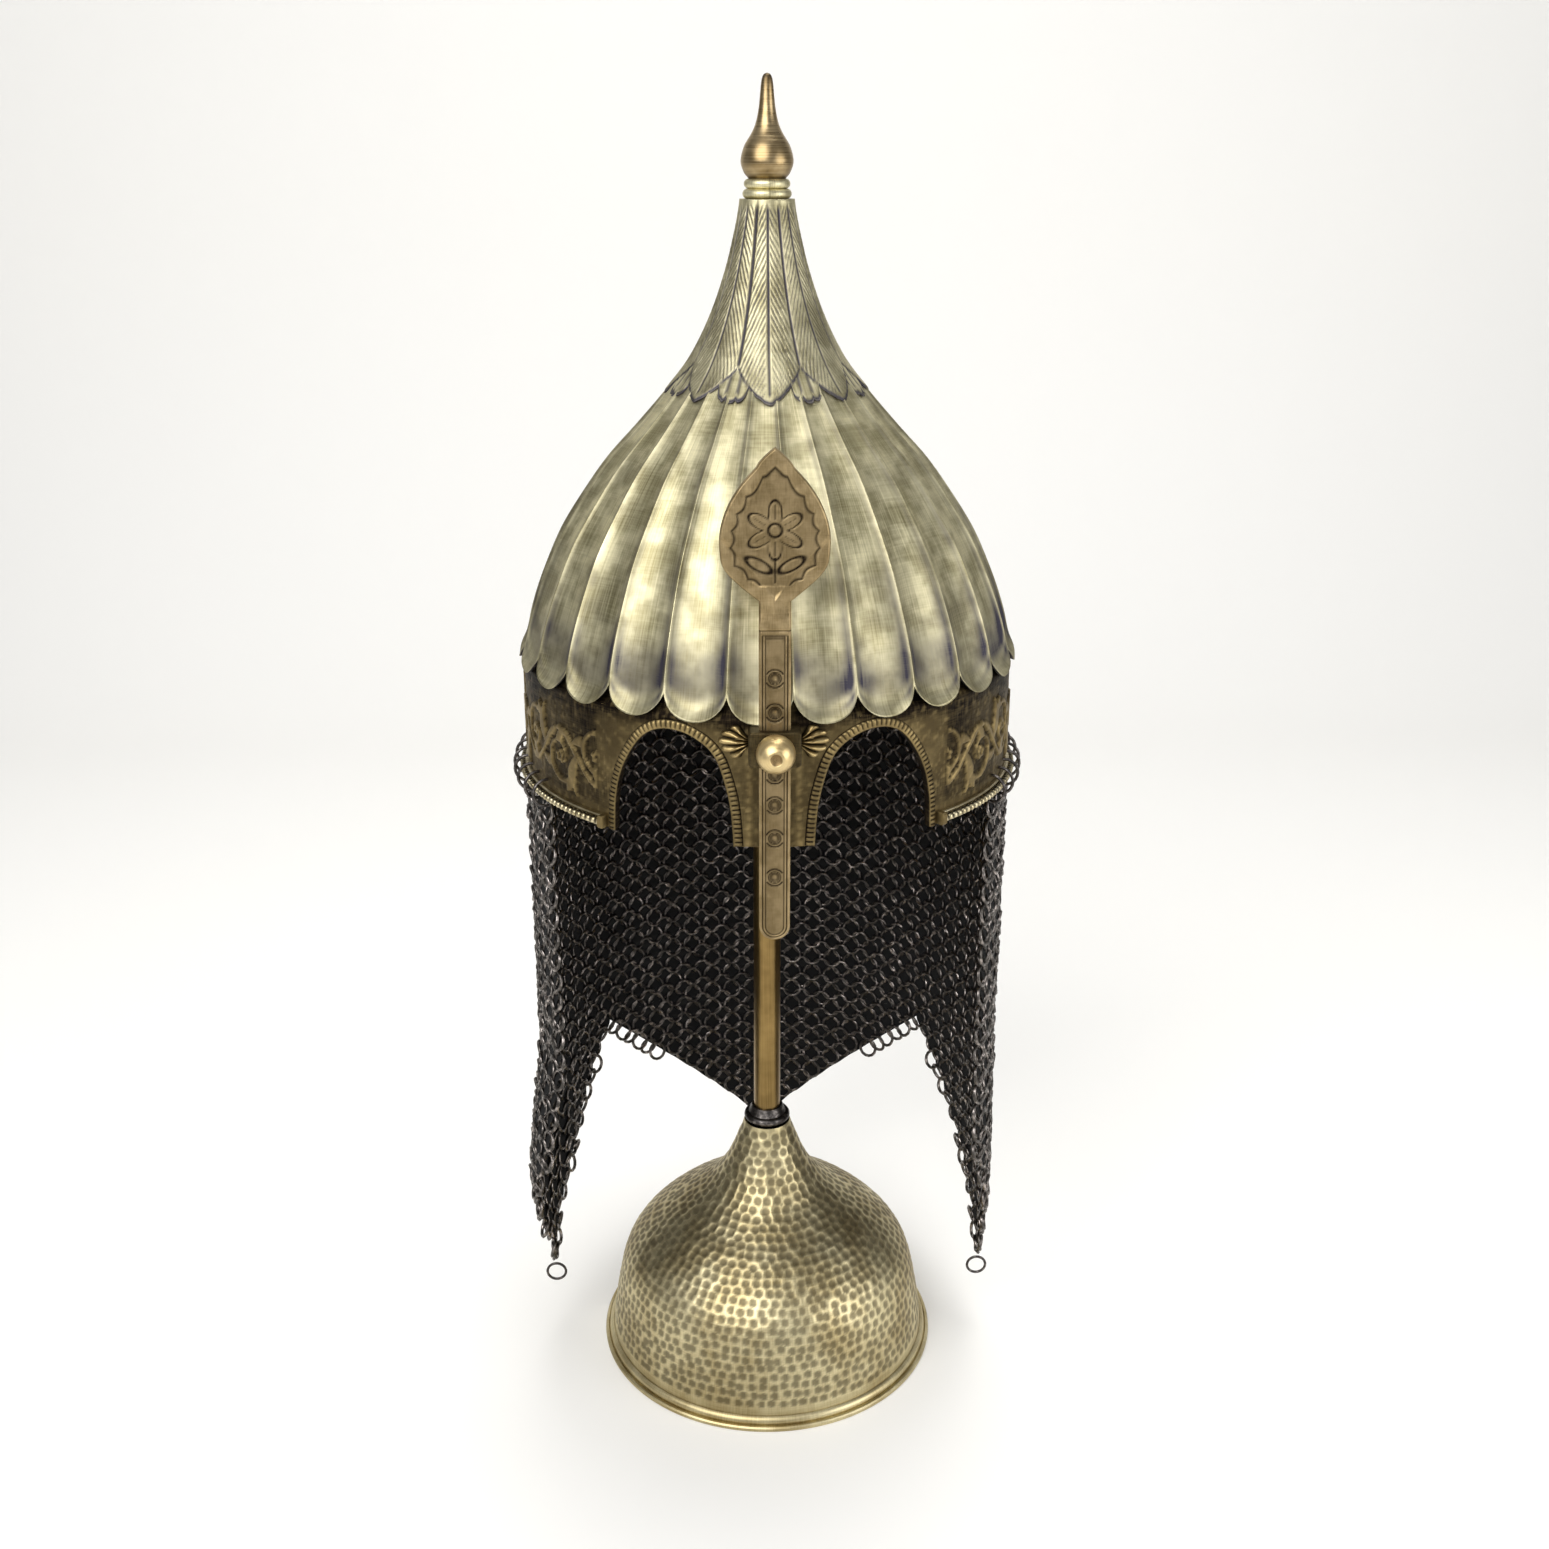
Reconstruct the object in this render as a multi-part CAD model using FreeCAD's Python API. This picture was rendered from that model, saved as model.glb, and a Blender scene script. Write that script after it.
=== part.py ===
import FreeCAD, Part
import math
import os

# Chichak helmet with neck mail, resting on its brass display stand.
# Millimetres. +Z is up, the helmet faces -Y, and the origin is the middle of the
# stand's underside. Helmet and stand share the Z axis.

V = FreeCAD.Vector
UP = V(0, 0, 1)

# Stand: foot and hammered dome
FOOT_R = 77.5           # hammered dome where it leaves the foot
FOOT_Z = 7.0
RIM_OUT = 4.5           # foot ring beyond the dome
RIM_EDGE = 2.4          # height of the foot ring's outer lip
RIM_BEAD = 2.3          # radius of the bead inside the lip
RIM_SEAT = 3.8          # width of the foot ring under the dome
DOME_TOP = 119.0
DOME_NECK_R = 11.0      # dome at its top
DOME_SHEET = 1.4
# Hammered dome between foot and neck: share of the radius, share of the height.
DOME_CURVE = [(0.975, 0.12), (0.91, 0.31), (0.812, 0.42), (0.624, 0.53),
              (0.426, 0.616), (0.278, 0.687), (0.179, 0.758), (0.111, 0.83), (0.05, 0.92)]

# Stand: pole, collar and head block
POLE_D = 12.7
POLE_WALL = 1.3
COLLAR_R = 11.0
COLLAR_H = 8.0
COLLAR_LIP = 1.3        # wall of the collar round the pole's foot
ROD_D = 6.0             # tie rod that clamps dome, pole and head block
ROD_PAST = 2.0          # rod beyond its nuts
NUT_FLATS = 10.0
NUT_H = 5.0
WASHER_R = 8.0
WASHER_T = 1.5
WELL_PLAY = 0.5         # round the washer in the block's well
BLOCK_UP = 14.0         # top of the wood block above the start of the cone
BLOCK_H = 27.0
SHOULDER_H = 10.8       # height of the block's shoulder above its underside
BLOCK_SOCKET = 2.6      # depth of the pole's seat in the block
PAD_T = 2.5             # felt over the block
GAP = 0.3               # between bodies that turn or lift apart

# Brow band
BAND_R = 105.4
BAND_T = 2.4
BAND_LOW = 305.3
BAND_H = 51.8
BELT_IN = 4.2           # step from the band in to the belt that the skull sits on
BAND_TUCK = 13.0        # height of the belt inside the skull
BELT_LEAN = 0.034       # how far the belt leans in, as a share of LIP_R - CONE_R
FLANGE_T = 1.8
SEAM = 0.4              # open seam between band and flutes

# Skull
LIP_Z = 355.9           # lowest point of the flutes
LIP_OUT = 2.8           # flared lip beyond the band
CONE_Z = 466.0          # flutes end, feathered cone begins
CONE_R = 43.4
CROWN_Z = 543.0         # top of the cone
CROWN_R = 10.1
SHEET = 1.7             # skull sheet
FLUTES = 26
FLUTE_TURN = -3.0       # the front flute stands this many degrees off the nasal
FLUTE_DEPTH = 2.1
SCALLOP = 9.6           # rise of the notches between the flutes' ends
CROWN_T = 2.4           # thickness of the closed crown
# Ridge line of the fluted dome from lip to cone: share of the height, share of the
# radius from CONE_R out to the lip, share of FLUTE_DEPTH.
DOME_RIDGE = [(0.0, 1.0, 0.15), (0.024, 0.978, 0.3), (0.073, 0.951, 0.6), (0.15, 0.918, 1.0),
              (0.245, 0.867, 1.0), (0.363, 0.787, 1.0), (0.495, 0.681, 1.0), (0.631, 0.531, 0.95),
              (0.767, 0.36, 0.85), (0.89, 0.167, 0.65), (1.0, 0.0, 0.4)]
# Cone: share of the height, share of the radius from CROWN_R out to CONE_R.
CONE_LINE = [(0.0, 1.0), (0.182, 0.658), (0.286, 0.517), (0.39, 0.399), (0.494, 0.3),
             (0.591, 0.222), (0.688, 0.153), (0.792, 0.093), (0.896, 0.039), (1.0, 0.0)]

# Finial
FERRULE_R = 9.9
FERRULE_H = 7.6
FINIAL_H = 39.2
FINIAL_R = 10.6
STUD_D = 5.0
STUD_LONG = 22.0        # stud below the finial
FINIAL_NUT_FLATS = 8.0
FINIAL_NUT_H = 4.0
FINIAL_WASHER_R = 6.0
FINIAL_WASHER_T = 1.2
# Finial outline: share of its height, share of its radius.
FINIAL_LINE = [(0.0, 0.68), (0.055, 0.85), (0.2, 1.0), (0.33, 0.877), (0.44, 0.613),
               (0.56, 0.443), (0.68, 0.358), (0.79, 0.33), (0.9, 0.274), (0.965, 0.179), (1.0, 0.0)]

# Eye openings: the outline is set across the opening's own middle plane.
EYE_ASIDE = 40.5        # middle of an opening from the helmet's middle plane
EYE_W = 51.5
EYE_TOP = 46.9          # crown of the arch above the band's lower edge
# Opening: share of EYE_W from its middle (inner side negative), share of EYE_TOP.
EYE_LINE = [(-0.505, -0.2), (-0.497, 0.12), (-0.464, 0.45), (-0.365, 0.79), (-0.194, 0.953), (0.0, 1.0),
            (0.167, 0.948), (0.299, 0.8), (0.419, 0.56), (0.478, 0.3), (0.493, 0.05), (0.495, -0.2)]
BORDER_W = 3.3
BORDER_H = 1.3

# Beaded rim and the rings that carry the mail
BEADING_UP = 0.2        # above the band's lower edge
BEADING_W = 4.4
BEADING_H = 5.0
BEADING_ROUND = 1.4     # bevel of the beading's edges
BEADING_GAP = 0.4       # between an eye border and the beading's squared end
RING_WIRE = 1.4
HANGER_R = 5.9          # middle radius of a hanger ring
HANGERS = 41
HANGER_PLAY = 0.15      # hanger ring in its hole in the band
MAIL_TURN = 62.0        # degrees from the front to the mail's front edge

# Mail
MAIL_IN = 0.4           # mail inside the hanger rings' middle line
MAIL_HANG = 0.4         # mail below the hanger rings
MAIL_T = 2.4            # thickness of the linked rings
MAIL_LONG = 165.0       # down to the fold where tails and nape point swing
TAIL_LONG = 99.0        # tail below the fold
TAIL_TURN = 90.0        # degrees from the front to a tail's tip
TAIL_TIP_W = 8.0
TAIL_FLARE = 9.0        # how far the left tail's front edge stands out
NOTCH_TURN = 131.0      # degrees from the front to the notch behind a tail
NOTCH_GAP = 0.6         # degrees between tail and nape point
NAPE_LONG = 81.0        # nape point below the fold
NAPE_SIDE = 0.04        # share of its length that the nape's sides stay upright
TAIL_RING_R = 4.6
TAIL_RING_WIRE = 1.3
# Tail from fold to tip: share of its length, share of TAIL_FLARE.
TAIL_ROWS = [(0.0, 0.0), (0.3, 1.0), (0.65, 0.8), (1.0, 0.0)]

# Nasal
BAR_W = 12.0
BAR_T = 4.2
BAR_STAND = 3.2         # back face of the bar off the band
BAR_LONG = 137.0        # from the leaf's foot down
LEAF_Z = 405.5          # foot of the leaf
LEAF_H = 56.0
LEAF_W = 40.6
LEAF_T = 3.2
NECK_H = 3.0            # bar up into the leaf
# Leaf outline: share of the half width, share of the height.
LEAF_LINE = [(0.315, 0.0), (0.635, 0.095), (0.92, 0.209), (1.0, 0.35), (0.92, 0.555),
             (0.59, 0.77), (0.335, 0.873), (0.0, 1.0)]
PIT_R = 3.0             # ball that cuts a dimple
PIT_OUT = 1.44          # its middle in front of the bar
# Dimples: distance below the leaf's foot.
DIMPLES = [29.4, 42.8, 55.0, 67.7, 80.0, 93.7, 110.1]

# Nasal bracket and clamp screw
BOX_W = 20.0
BOX_UP = 37.3           # underside of the bracket above the band's lower edge
BOX_H = 12.7
BOX_WALL = 3.1          # front wall that holds the screw
BOX_ROUND = 1.2
BAR_PLAY = 0.3
WING_R = 9.6            # reach of a palmette wing beyond the box
WING_PLATE_T = 1.2
WING_EDGE = 1.5         # wing plate inside the bracket's height
WING_RIBS = 4
WING_FAN = 38.0         # degrees up and down that the ribs spread
RIB_R = 1.7             # rib at its round tip
RIB_ROOT_R = 0.9
RIVET_TURN = 7.6
RIVET_DOWN = 1.0        # below the clamp screw
RIVET_R = 1.2
RIVET_HEAD_R = 2.4
RIVET_HEAD_T = 1.0
CLAMP_UP = 7.9          # clamp screw above the bracket's underside
CLAMP_D = 5.0
CLAMP_FIT = 0.05
CLAMP_LONG = 15.0
CLAMP_TIP = 0.2         # screw tip off the bar
KNOB_R = 7.4
KNOB_FLAT = 0.4         # depth of the flat on the ball
KNOB_PIT_R = 2.2
KNOB_STAND = 1.0        # between the bracket and the ball

# What follows from these sizes
SLANT = 1.37 * SHEET    # sheet measured level, where the dome slopes
PAST = 10.0             # how far a cutting shape runs past what it cuts
BELT_R = BAND_R - BELT_IN
BAND_TOP = BAND_LOW + BAND_H
LIP_R = BAND_R + LIP_OUT
BELT_TOP_R = BELT_R - BELT_LEAN * (LIP_R - CONE_R)
EYE_TURN = math.degrees(math.asin(EYE_ASIDE / BAND_R))
RIM_R = FOOT_R + RIM_OUT
BLOCK_TOP = CONE_Z + BLOCK_UP
BLOCK_LOW = BLOCK_TOP - BLOCK_H
SHOULDER_Z = BLOCK_LOW + SHOULDER_H
WELL_Z = BLOCK_TOP - NUT_H - WASHER_T - ROD_PAST / 2
BAR_BACK = BAND_R + BAR_STAND
BAR_FRONT = BAR_BACK + BAR_T
BAR_LOW = LEAF_Z - BAR_LONG
BOX_LOW = BAND_LOW + BOX_UP
BOX_HIGH = BOX_LOW + BOX_H
BOX_FRONT = BAR_FRONT + BAR_PLAY + BOX_WALL
CLAMP_Z = BOX_LOW + CLAMP_UP
BORDER_TURN = EYE_TURN + math.degrees(math.asin((EYE_W / 2 + BORDER_W) / BAND_R))
BEADING_TURN = BORDER_TURN + math.degrees(BEADING_GAP / BAND_R)
HANGER_MIDDLE = BAND_R + (BEADING_W - BAND_T) / 2
HANGER_Z = BAND_LOW + BEADING_UP + BEADING_H / 2
MAIL_R = HANGER_MIDDLE - MAIL_IN
MAIL_TOP = HANGER_Z - HANGER_R - RING_WIRE / 2 - MAIL_HANG
FOLD_Z = MAIL_TOP - MAIL_LONG
FOLD_GAP = MAIL_T       # room above and below the fold, enough to swing out level
TAIL_TIP = FOLD_Z - TAIL_LONG
NAPE_TIP = FOLD_Z - NAPE_LONG


def save(name, shape):
    shape.exportStep("parts/" + name + ".step")
    print(name, len(shape.Solids), round(shape.Volume), shape.isValid())


def cylinder(radius, low, high):
    return Part.makeCylinder(radius, high - low, V(0, 0, low))


def tube(inner, outer, low, high):
    return cylinder(outer, low, high).cut(cylinder(inner, low, high))


def radial(angle, distance, z):
    """A point that lies angle degrees from the front, positive towards +X."""
    turn = math.radians(angle)
    return V(distance * math.sin(turn), -distance * math.cos(turn), z)


def spoke(angle, radius, start, end, z):
    """A round bar that points out from the axis."""
    return Part.makeCylinder(radius, end - start, radial(angle, start, z), radial(angle, 1, 0))


def turned(outline, sweep=360.0):
    """A solid of revolution from (radius, height) corners."""
    corners = [V(r, 0, z) for r, z in outline]
    face = Part.Face(Part.makePolygon(corners + corners[:1]))
    return face.revolve(V(0, 0, 0), UP, sweep)


def smooth_turned(line):
    """A solid of revolution whose outer line is a smooth curve, closed to the axis."""
    points = [V(r, 0, z) for r, z in line]
    curve = Part.BSplineCurve()
    curve.interpolate(points)
    first, last = points[0], points[-1]
    corners = [last]
    if last.x > 0:
        corners.append(V(0, 0, last.z))
    corners += [V(0, 0, first.z), first]
    edges = [curve.toShape()]
    edges += [Part.makeLine(a, b) for a, b in zip(corners, corners[1:])]
    return Part.Face(Part.Wire(edges)).revolve(V(0, 0, 0), UP, 360)


def inset(line, depth):
    """The (radius, height) line moved squarely inwards by depth."""
    moved = []
    for i, (r, z) in enumerate(line):
        before = line[max(i - 1, 0)]
        after = line[min(i + 1, len(line) - 1)]
        run = math.hypot(after[0] - before[0], after[1] - before[1])
        nr = (after[1] - before[1]) / run
        nz = (before[0] - after[0]) / run
        moved.append((r - depth * nr, z - depth * nz))
    return moved


def hex_nut(flats, bore, low, height):
    corner = flats / math.sqrt(3)
    turns = [math.radians(60 * i) for i in range(7)]
    ring = [V(corner * math.cos(t), corner * math.sin(t), low) for t in turns]
    block = Part.Face(Part.makePolygon(ring)).extrude(V(0, 0, height))
    return block.cut(cylinder(bore, low, low + height))


# Stand

def base_dome():
    line = [(FOOT_R, FOOT_Z)]
    for share_r, share_z in DOME_CURVE:
        r = DOME_NECK_R + share_r * (FOOT_R - DOME_NECK_R)
        line.append((r, FOOT_Z + share_z * (DOME_TOP - FOOT_Z)))
    line.append((DOME_NECK_R, DOME_TOP))
    hollow = inset(line, DOME_SHEET)
    hollow[0] = (FOOT_R - DOME_SHEET, FOOT_Z)
    hollow[-1] = (DOME_NECK_R - DOME_SHEET, DOME_TOP - DOME_SHEET)
    shell = smooth_turned(line).cut(smooth_turned(hollow))
    shell = shell.fuse(tube(FOOT_R - DOME_SHEET, FOOT_R, RIM_EDGE, FOOT_Z))
    return shell.cut(cylinder(ROD_D / 2, DOME_TOP - PAST, DOME_TOP)).removeSplitter()


def base_rim():
    inner = FOOT_R - RIM_SEAT
    outer = RIM_R - RIM_EDGE / 2
    foot = tube(inner, outer, 0, RIM_EDGE)
    lip = Part.makeTorus(outer, RIM_EDGE / 2, V(0, 0, RIM_EDGE / 2))
    bead = Part.makeTorus(FOOT_R, RIM_BEAD, V(0, 0, RIM_EDGE + RIM_BEAD / 2))
    bead = bead.cut(cylinder(FOOT_R, 0, FOOT_Z + RIM_BEAD))
    return foot.fuse([lip, bead]).removeSplitter()


def stand_collar():
    """A rounded foot and a taper up to the pole."""
    bulge = COLLAR_H / 4
    waist = COLLAR_R - bulge
    ring = Part.makeTorus(waist, bulge, V(0, 0, DOME_TOP + bulge * 1.2))
    top = DOME_TOP + COLLAR_H
    body = turned([(0, DOME_TOP), (waist, DOME_TOP), (waist, DOME_TOP + 2 * bulge),
                   (POLE_D / 2 + COLLAR_LIP, top), (0, top)])
    collar = body.fuse(ring)
    collar = collar.cut(cylinder(POLE_D / 2, DOME_TOP + COLLAR_LIP, top))
    return collar.cut(cylinder(ROD_D / 2, DOME_TOP, top)).removeSplitter()


def dome_rows():
    """The ridge line of the flutes: radius, height, depth of a flute."""
    rows = []
    for share_z, share_r, share_deep in DOME_RIDGE:
        ridge = CONE_R + share_r * (LIP_R - CONE_R)
        rows.append((ridge, LIP_Z + share_z * (CONE_Z - LIP_Z), FLUTE_DEPTH * share_deep))
    return rows


def cone_line():
    return [(CROWN_R + share_r * (CONE_R - CROWN_R), CONE_Z + share_z * (CROWN_Z - CONE_Z))
            for share_z, share_r in CONE_LINE]


def hollow_radius(ridge, depth):
    """The sheet's inner face at the bottom of a flute."""
    return (ridge - SLANT) * math.cos(math.pi / FLUTES) - depth


def skull_core(gap):
    """What fits inside the top of the skull at this gap."""
    line = [(hollow_radius(ridge, depth), z) for ridge, z, depth in dome_rows()[-3:]]
    line += inset(cone_line(), SHEET)[1:]
    return smooth_turned(inset(line, gap))


def head_pad():
    reach = LIP_R
    outside = skull_core(GAP).common(cylinder(reach, SHOULDER_Z, BLOCK_TOP + GAP + PAD_T))
    inside = skull_core(GAP + PAD_T).common(cylinder(reach, BLOCK_LOW, BLOCK_TOP + GAP))
    return outside.cut(inside)


def head_block():
    upper = skull_core(2 * GAP + PAD_T).common(cylinder(LIP_R, SHOULDER_Z, BLOCK_TOP))
    edge = max(v.X for v in upper.Vertexes)
    lower = turned([(0, BLOCK_LOW), (POLE_D, BLOCK_LOW), (edge * 0.75, BLOCK_LOW + SHOULDER_H / 2),
                    (edge, SHOULDER_Z), (0, SHOULDER_Z)])
    block = upper.fuse(lower)
    block = block.cut(cylinder(ROD_D / 2, BLOCK_LOW, BLOCK_TOP))
    block = block.cut(cylinder(WASHER_R + WELL_PLAY, WELL_Z, BLOCK_TOP))
    block = block.cut(cylinder(POLE_D / 2, BLOCK_LOW, BLOCK_LOW + BLOCK_SOCKET))
    return block.removeSplitter()


def make_stand():
    save("base_rim", base_rim())
    save("base_dome", base_dome())
    save("stand_collar", stand_collar())
    pole = tube(POLE_D / 2 - POLE_WALL, POLE_D / 2, DOME_TOP + COLLAR_LIP, BLOCK_LOW + BLOCK_SOCKET)
    save("stand_pole", pole)
    under = DOME_TOP - DOME_SHEET
    save("base_washer", tube(ROD_D / 2, WASHER_R, under - WASHER_T, under))
    nut_low = under - WASHER_T - NUT_H
    save("base_nut", hex_nut(NUT_FLATS, ROD_D / 2, nut_low, NUT_H))
    nut_top = WELL_Z + WASHER_T + NUT_H
    save("tie_rod", cylinder(ROD_D / 2, nut_low - ROD_PAST, nut_top + ROD_PAST / 4))
    save("head_block", head_block())
    save("head_washer", tube(ROD_D / 2, WASHER_R, WELL_Z, WELL_Z + WASHER_T))
    save("head_nut", hex_nut(NUT_FLATS, ROD_D / 2, WELL_Z + WASHER_T, NUT_H))
    save("head_pad", head_pad())


# Skull

def fluted_wire(z, ridge, depth):
    step = 360.0 / FLUTES
    edges = []
    for i in range(FLUTES):
        middle = FLUTE_TURN + i * step
        left = radial(middle - step / 2, ridge, z)
        right = radial(middle + step / 2, ridge, z)
        hollow = ridge * math.cos(math.radians(step / 2)) - depth
        edges.append(Part.Arc(left, radial(middle, hollow, z), right).toShape())
    return Part.Wire(edges)


def fluted_body(inward, lowest):
    """The fluted dome moved inwards. Its smooth sides are drawn on past the cone's foot, then cut there."""
    rows = [row for row in dome_rows() if row[1] > lowest]
    rows += [(r, z, rows[-1][2]) for r, z in cone_line()[1:3]]
    body = Part.makeLoft([fluted_wire(z, ridge - inward, depth) for ridge, z, depth in rows], True, False)
    return body.common(cylinder(LIP_R + PAST, LIP_Z - PAST, CONE_Z))


def scallops():
    """The wedges that leave a round end on every flute."""
    half = LIP_R * math.sin(math.pi / FLUTES)
    end_r = (half ** 2 + SCALLOP ** 2) / (2 * SCALLOP)
    ring = tube(BELT_R - PAST, LIP_R + PAST, LIP_Z - PAST, LIP_Z + SCALLOP)
    ends = []
    for i in range(FLUTES):
        turn = FLUTE_TURN + i * 360.0 / FLUTES
        ends.append(spoke(turn, end_r, BELT_R - 2 * PAST, LIP_R + 2 * PAST, LIP_Z + end_r))
    return ring.cut(ends)


def skull_shell():
    """The raised sheet, flutes and cone in one."""
    cone = smooth_turned(cone_line())
    outside = fluted_body(0.0, 0.0).fuse(cone)
    inside = fluted_body(SLANT, LIP_Z + BAND_TUCK / 2)
    tuck = LIP_Z + BAND_TUCK
    belt = turned([(0, LIP_Z - PAST), (BELT_R, LIP_Z - PAST), (BELT_R, LIP_Z),
                   (BELT_TOP_R, tuck), (0, tuck)])
    relief = cylinder(BAND_R + SEAM, LIP_Z - PAST, BAND_TOP + SEAM)
    bore = smooth_turned(inset(cone_line(), SHEET))
    bore = bore.common(cylinder(LIP_R, CONE_Z - SHEET, CROWN_Z - CROWN_T))
    return outside.cut([inside, belt, relief, bore, cylinder(STUD_D / 2, CONE_Z, CROWN_Z + PAST)])


def make_skull():
    """The fluted dome, and the feathered cone that is brazed on its top edge."""
    shell = skull_shell()
    top = cylinder(LIP_R + PAST, CONE_Z, CROWN_Z + PAST)
    save("skull", shell.cut(top).cut(scallops()))
    save("skull_cone", shell.common(top))


# Brow band, eye borders, beading

def eye_outline(side, grow):
    """A prism through the band with the outline of one eye opening, grown by grow."""
    turn = math.radians(EYE_TURN * side)
    across = V(math.cos(turn), math.sin(turn), 0)
    line = [(share_x * EYE_W, share_z * EYE_TOP) for share_x, share_z in EYE_LINE]
    points = []
    for i, (x, z) in enumerate(line):
        before = line[max(i - 1, 0)]
        after = line[min(i + 1, len(line) - 1)]
        dx = after[0] - before[0]
        dz = after[1] - before[1]
        run = math.hypot(dx, dz)
        flat = (x - grow * dz / run) * side
        high = BAND_LOW + z + grow * dx / run
        points.append(across * flat + radial(EYE_TURN * side, BAND_R / 2, high))
    curve = Part.BSplineCurve()
    curve.interpolate(points)
    edges = [curve.toShape(), Part.makeLine(points[-1], points[0])]
    return Part.Face(Part.Wire(edges)).extrude(radial(EYE_TURN * side, BAND_R, 0))


def hanger(angle, wire):
    turn = math.radians(angle)
    return Part.makeTorus(HANGER_R, wire / 2, radial(angle, HANGER_MIDDLE, HANGER_Z),
                          V(math.cos(turn), math.sin(turn), 0))


def hanger_turns():
    step = (360.0 - 2 * MAIL_TURN) / (HANGERS - 1)
    return [MAIL_TURN + i * step for i in range(HANGERS)]


def brow_band():
    tuck = LIP_Z + BAND_TUCK
    outer, inner = BAND_R, BAND_R - BAND_T
    foot = BELT_R - (BELT_R - BELT_TOP_R) * (BAND_TOP - LIP_Z) / BAND_TUCK
    ring = turned([(inner, BAND_LOW), (outer, BAND_LOW), (outer, BAND_TOP), (foot, BAND_TOP),
                   (BELT_TOP_R, tuck), (BELT_TOP_R - FLANGE_T, tuck),
                   (foot - FLANGE_T, BAND_TOP - FLANGE_T), (inner, BAND_TOP - 2 * FLANGE_T)])
    for side in (-1, 1):
        ring = ring.cut(eye_outline(side, 0.0))
        hole = spoke(RIVET_TURN * side, RIVET_R, BELT_R - PAST, BAND_R + PAST, CLAMP_Z - RIVET_DOWN)
        ring = ring.cut(hole)
    return ring.cut([hanger(a, RING_WIRE + 2 * HANGER_PLAY) for a in hanger_turns()])


def eye_border(side):
    sleeve = tube(BAND_R, BAND_R + BORDER_H, BAND_LOW, LIP_Z - BORDER_H / 2)
    return sleeve.common(eye_outline(side, BORDER_W)).cut(eye_outline(side, 0.0))


def rim_beading():
    low = BAND_LOW + BEADING_UP
    high = low + BEADING_H
    out = BAND_R + BEADING_W
    bevel = BEADING_ROUND
    section = [(BAND_R, low), (out - bevel, low), (out, low + bevel),
               (out, high - bevel), (out - bevel, high), (BAND_R, high)]
    strip = turned(section, 360.0 - 2 * BEADING_TURN)
    strip.rotate(V(0, 0, 0), UP, BEADING_TURN - 90.0)
    return strip


def make_helmet():
    save("brow_band", brow_band())
    save("eye_border_left", eye_border(-1))
    save("eye_border_right", eye_border(1))
    save("rim_beading", rim_beading())
    save("hanger_rings", Part.makeCompound([hanger(a, RING_WIRE) for a in hanger_turns()]))


# Crown fittings

def finial():
    low = CROWN_Z + FERRULE_H
    body = smooth_turned([(share_r * FINIAL_R, low + share_z * FINIAL_H) for share_z, share_r in FINIAL_LINE])
    return body.fuse(cylinder(STUD_D / 2, low - STUD_LONG, low)).removeSplitter()


def ferrule():
    half = FERRULE_H / 4
    lower = Part.makeTorus(FERRULE_R - half, half, V(0, 0, CROWN_Z + half))
    upper = Part.makeTorus(FERRULE_R - 1.3 * half, half, V(0, 0, CROWN_Z + 3 * half))
    core = cylinder(FERRULE_R - half, CROWN_Z, CROWN_Z + 2 * half)
    core = core.fuse(cylinder(FERRULE_R - 1.3 * half, CROWN_Z + 2 * half, CROWN_Z + FERRULE_H))
    return core.fuse([lower, upper]).cut(cylinder(STUD_D / 2, CROWN_Z, CROWN_Z + FERRULE_H)).removeSplitter()


def make_crown():
    save("finial_ferrule", ferrule())
    save("finial", finial())
    under = CROWN_Z - CROWN_T
    save("finial_washer", tube(STUD_D / 2, FINIAL_WASHER_R, under - FINIAL_WASHER_T, under))
    nut_low = under - FINIAL_WASHER_T - FINIAL_NUT_H
    save("finial_nut", hex_nut(FINIAL_NUT_FLATS, STUD_D / 2, nut_low, FINIAL_NUT_H))


# Nasal, bracket and clamp

def nasal_bar():
    half = BAR_W / 2
    right = [V(x * LEAF_W / 2, -BAR_BACK, LEAF_Z + share * LEAF_H) for x, share in LEAF_LINE]
    left = [V(-p.x, p.y, p.z) for p in reversed(right)]
    curves = []
    for points in (right, left):
        curve = Part.BSplineCurve()
        curve.interpolate(points)
        curves.append(curve.toShape())
    base = Part.makeLine(left[-1], right[0])
    leaf = Part.Face(Part.Wire(curves + [base])).extrude(V(0, -LEAF_T, 0))
    blade = Part.makeBox(BAR_W, BAR_T, BAR_LONG + NECK_H - half, V(-half, -BAR_FRONT, BAR_LOW + half))
    end = Part.makeCylinder(half, BAR_T, V(0, -BAR_FRONT, BAR_LOW + half), V(0, 1, 0))
    bar = leaf.fuse([blade, end])
    pits = [Part.makeSphere(PIT_R, V(0, -BAR_FRONT - PIT_OUT, LEAF_Z - down)) for down in DIMPLES]
    return bar.cut(pits).removeSplitter()


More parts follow.
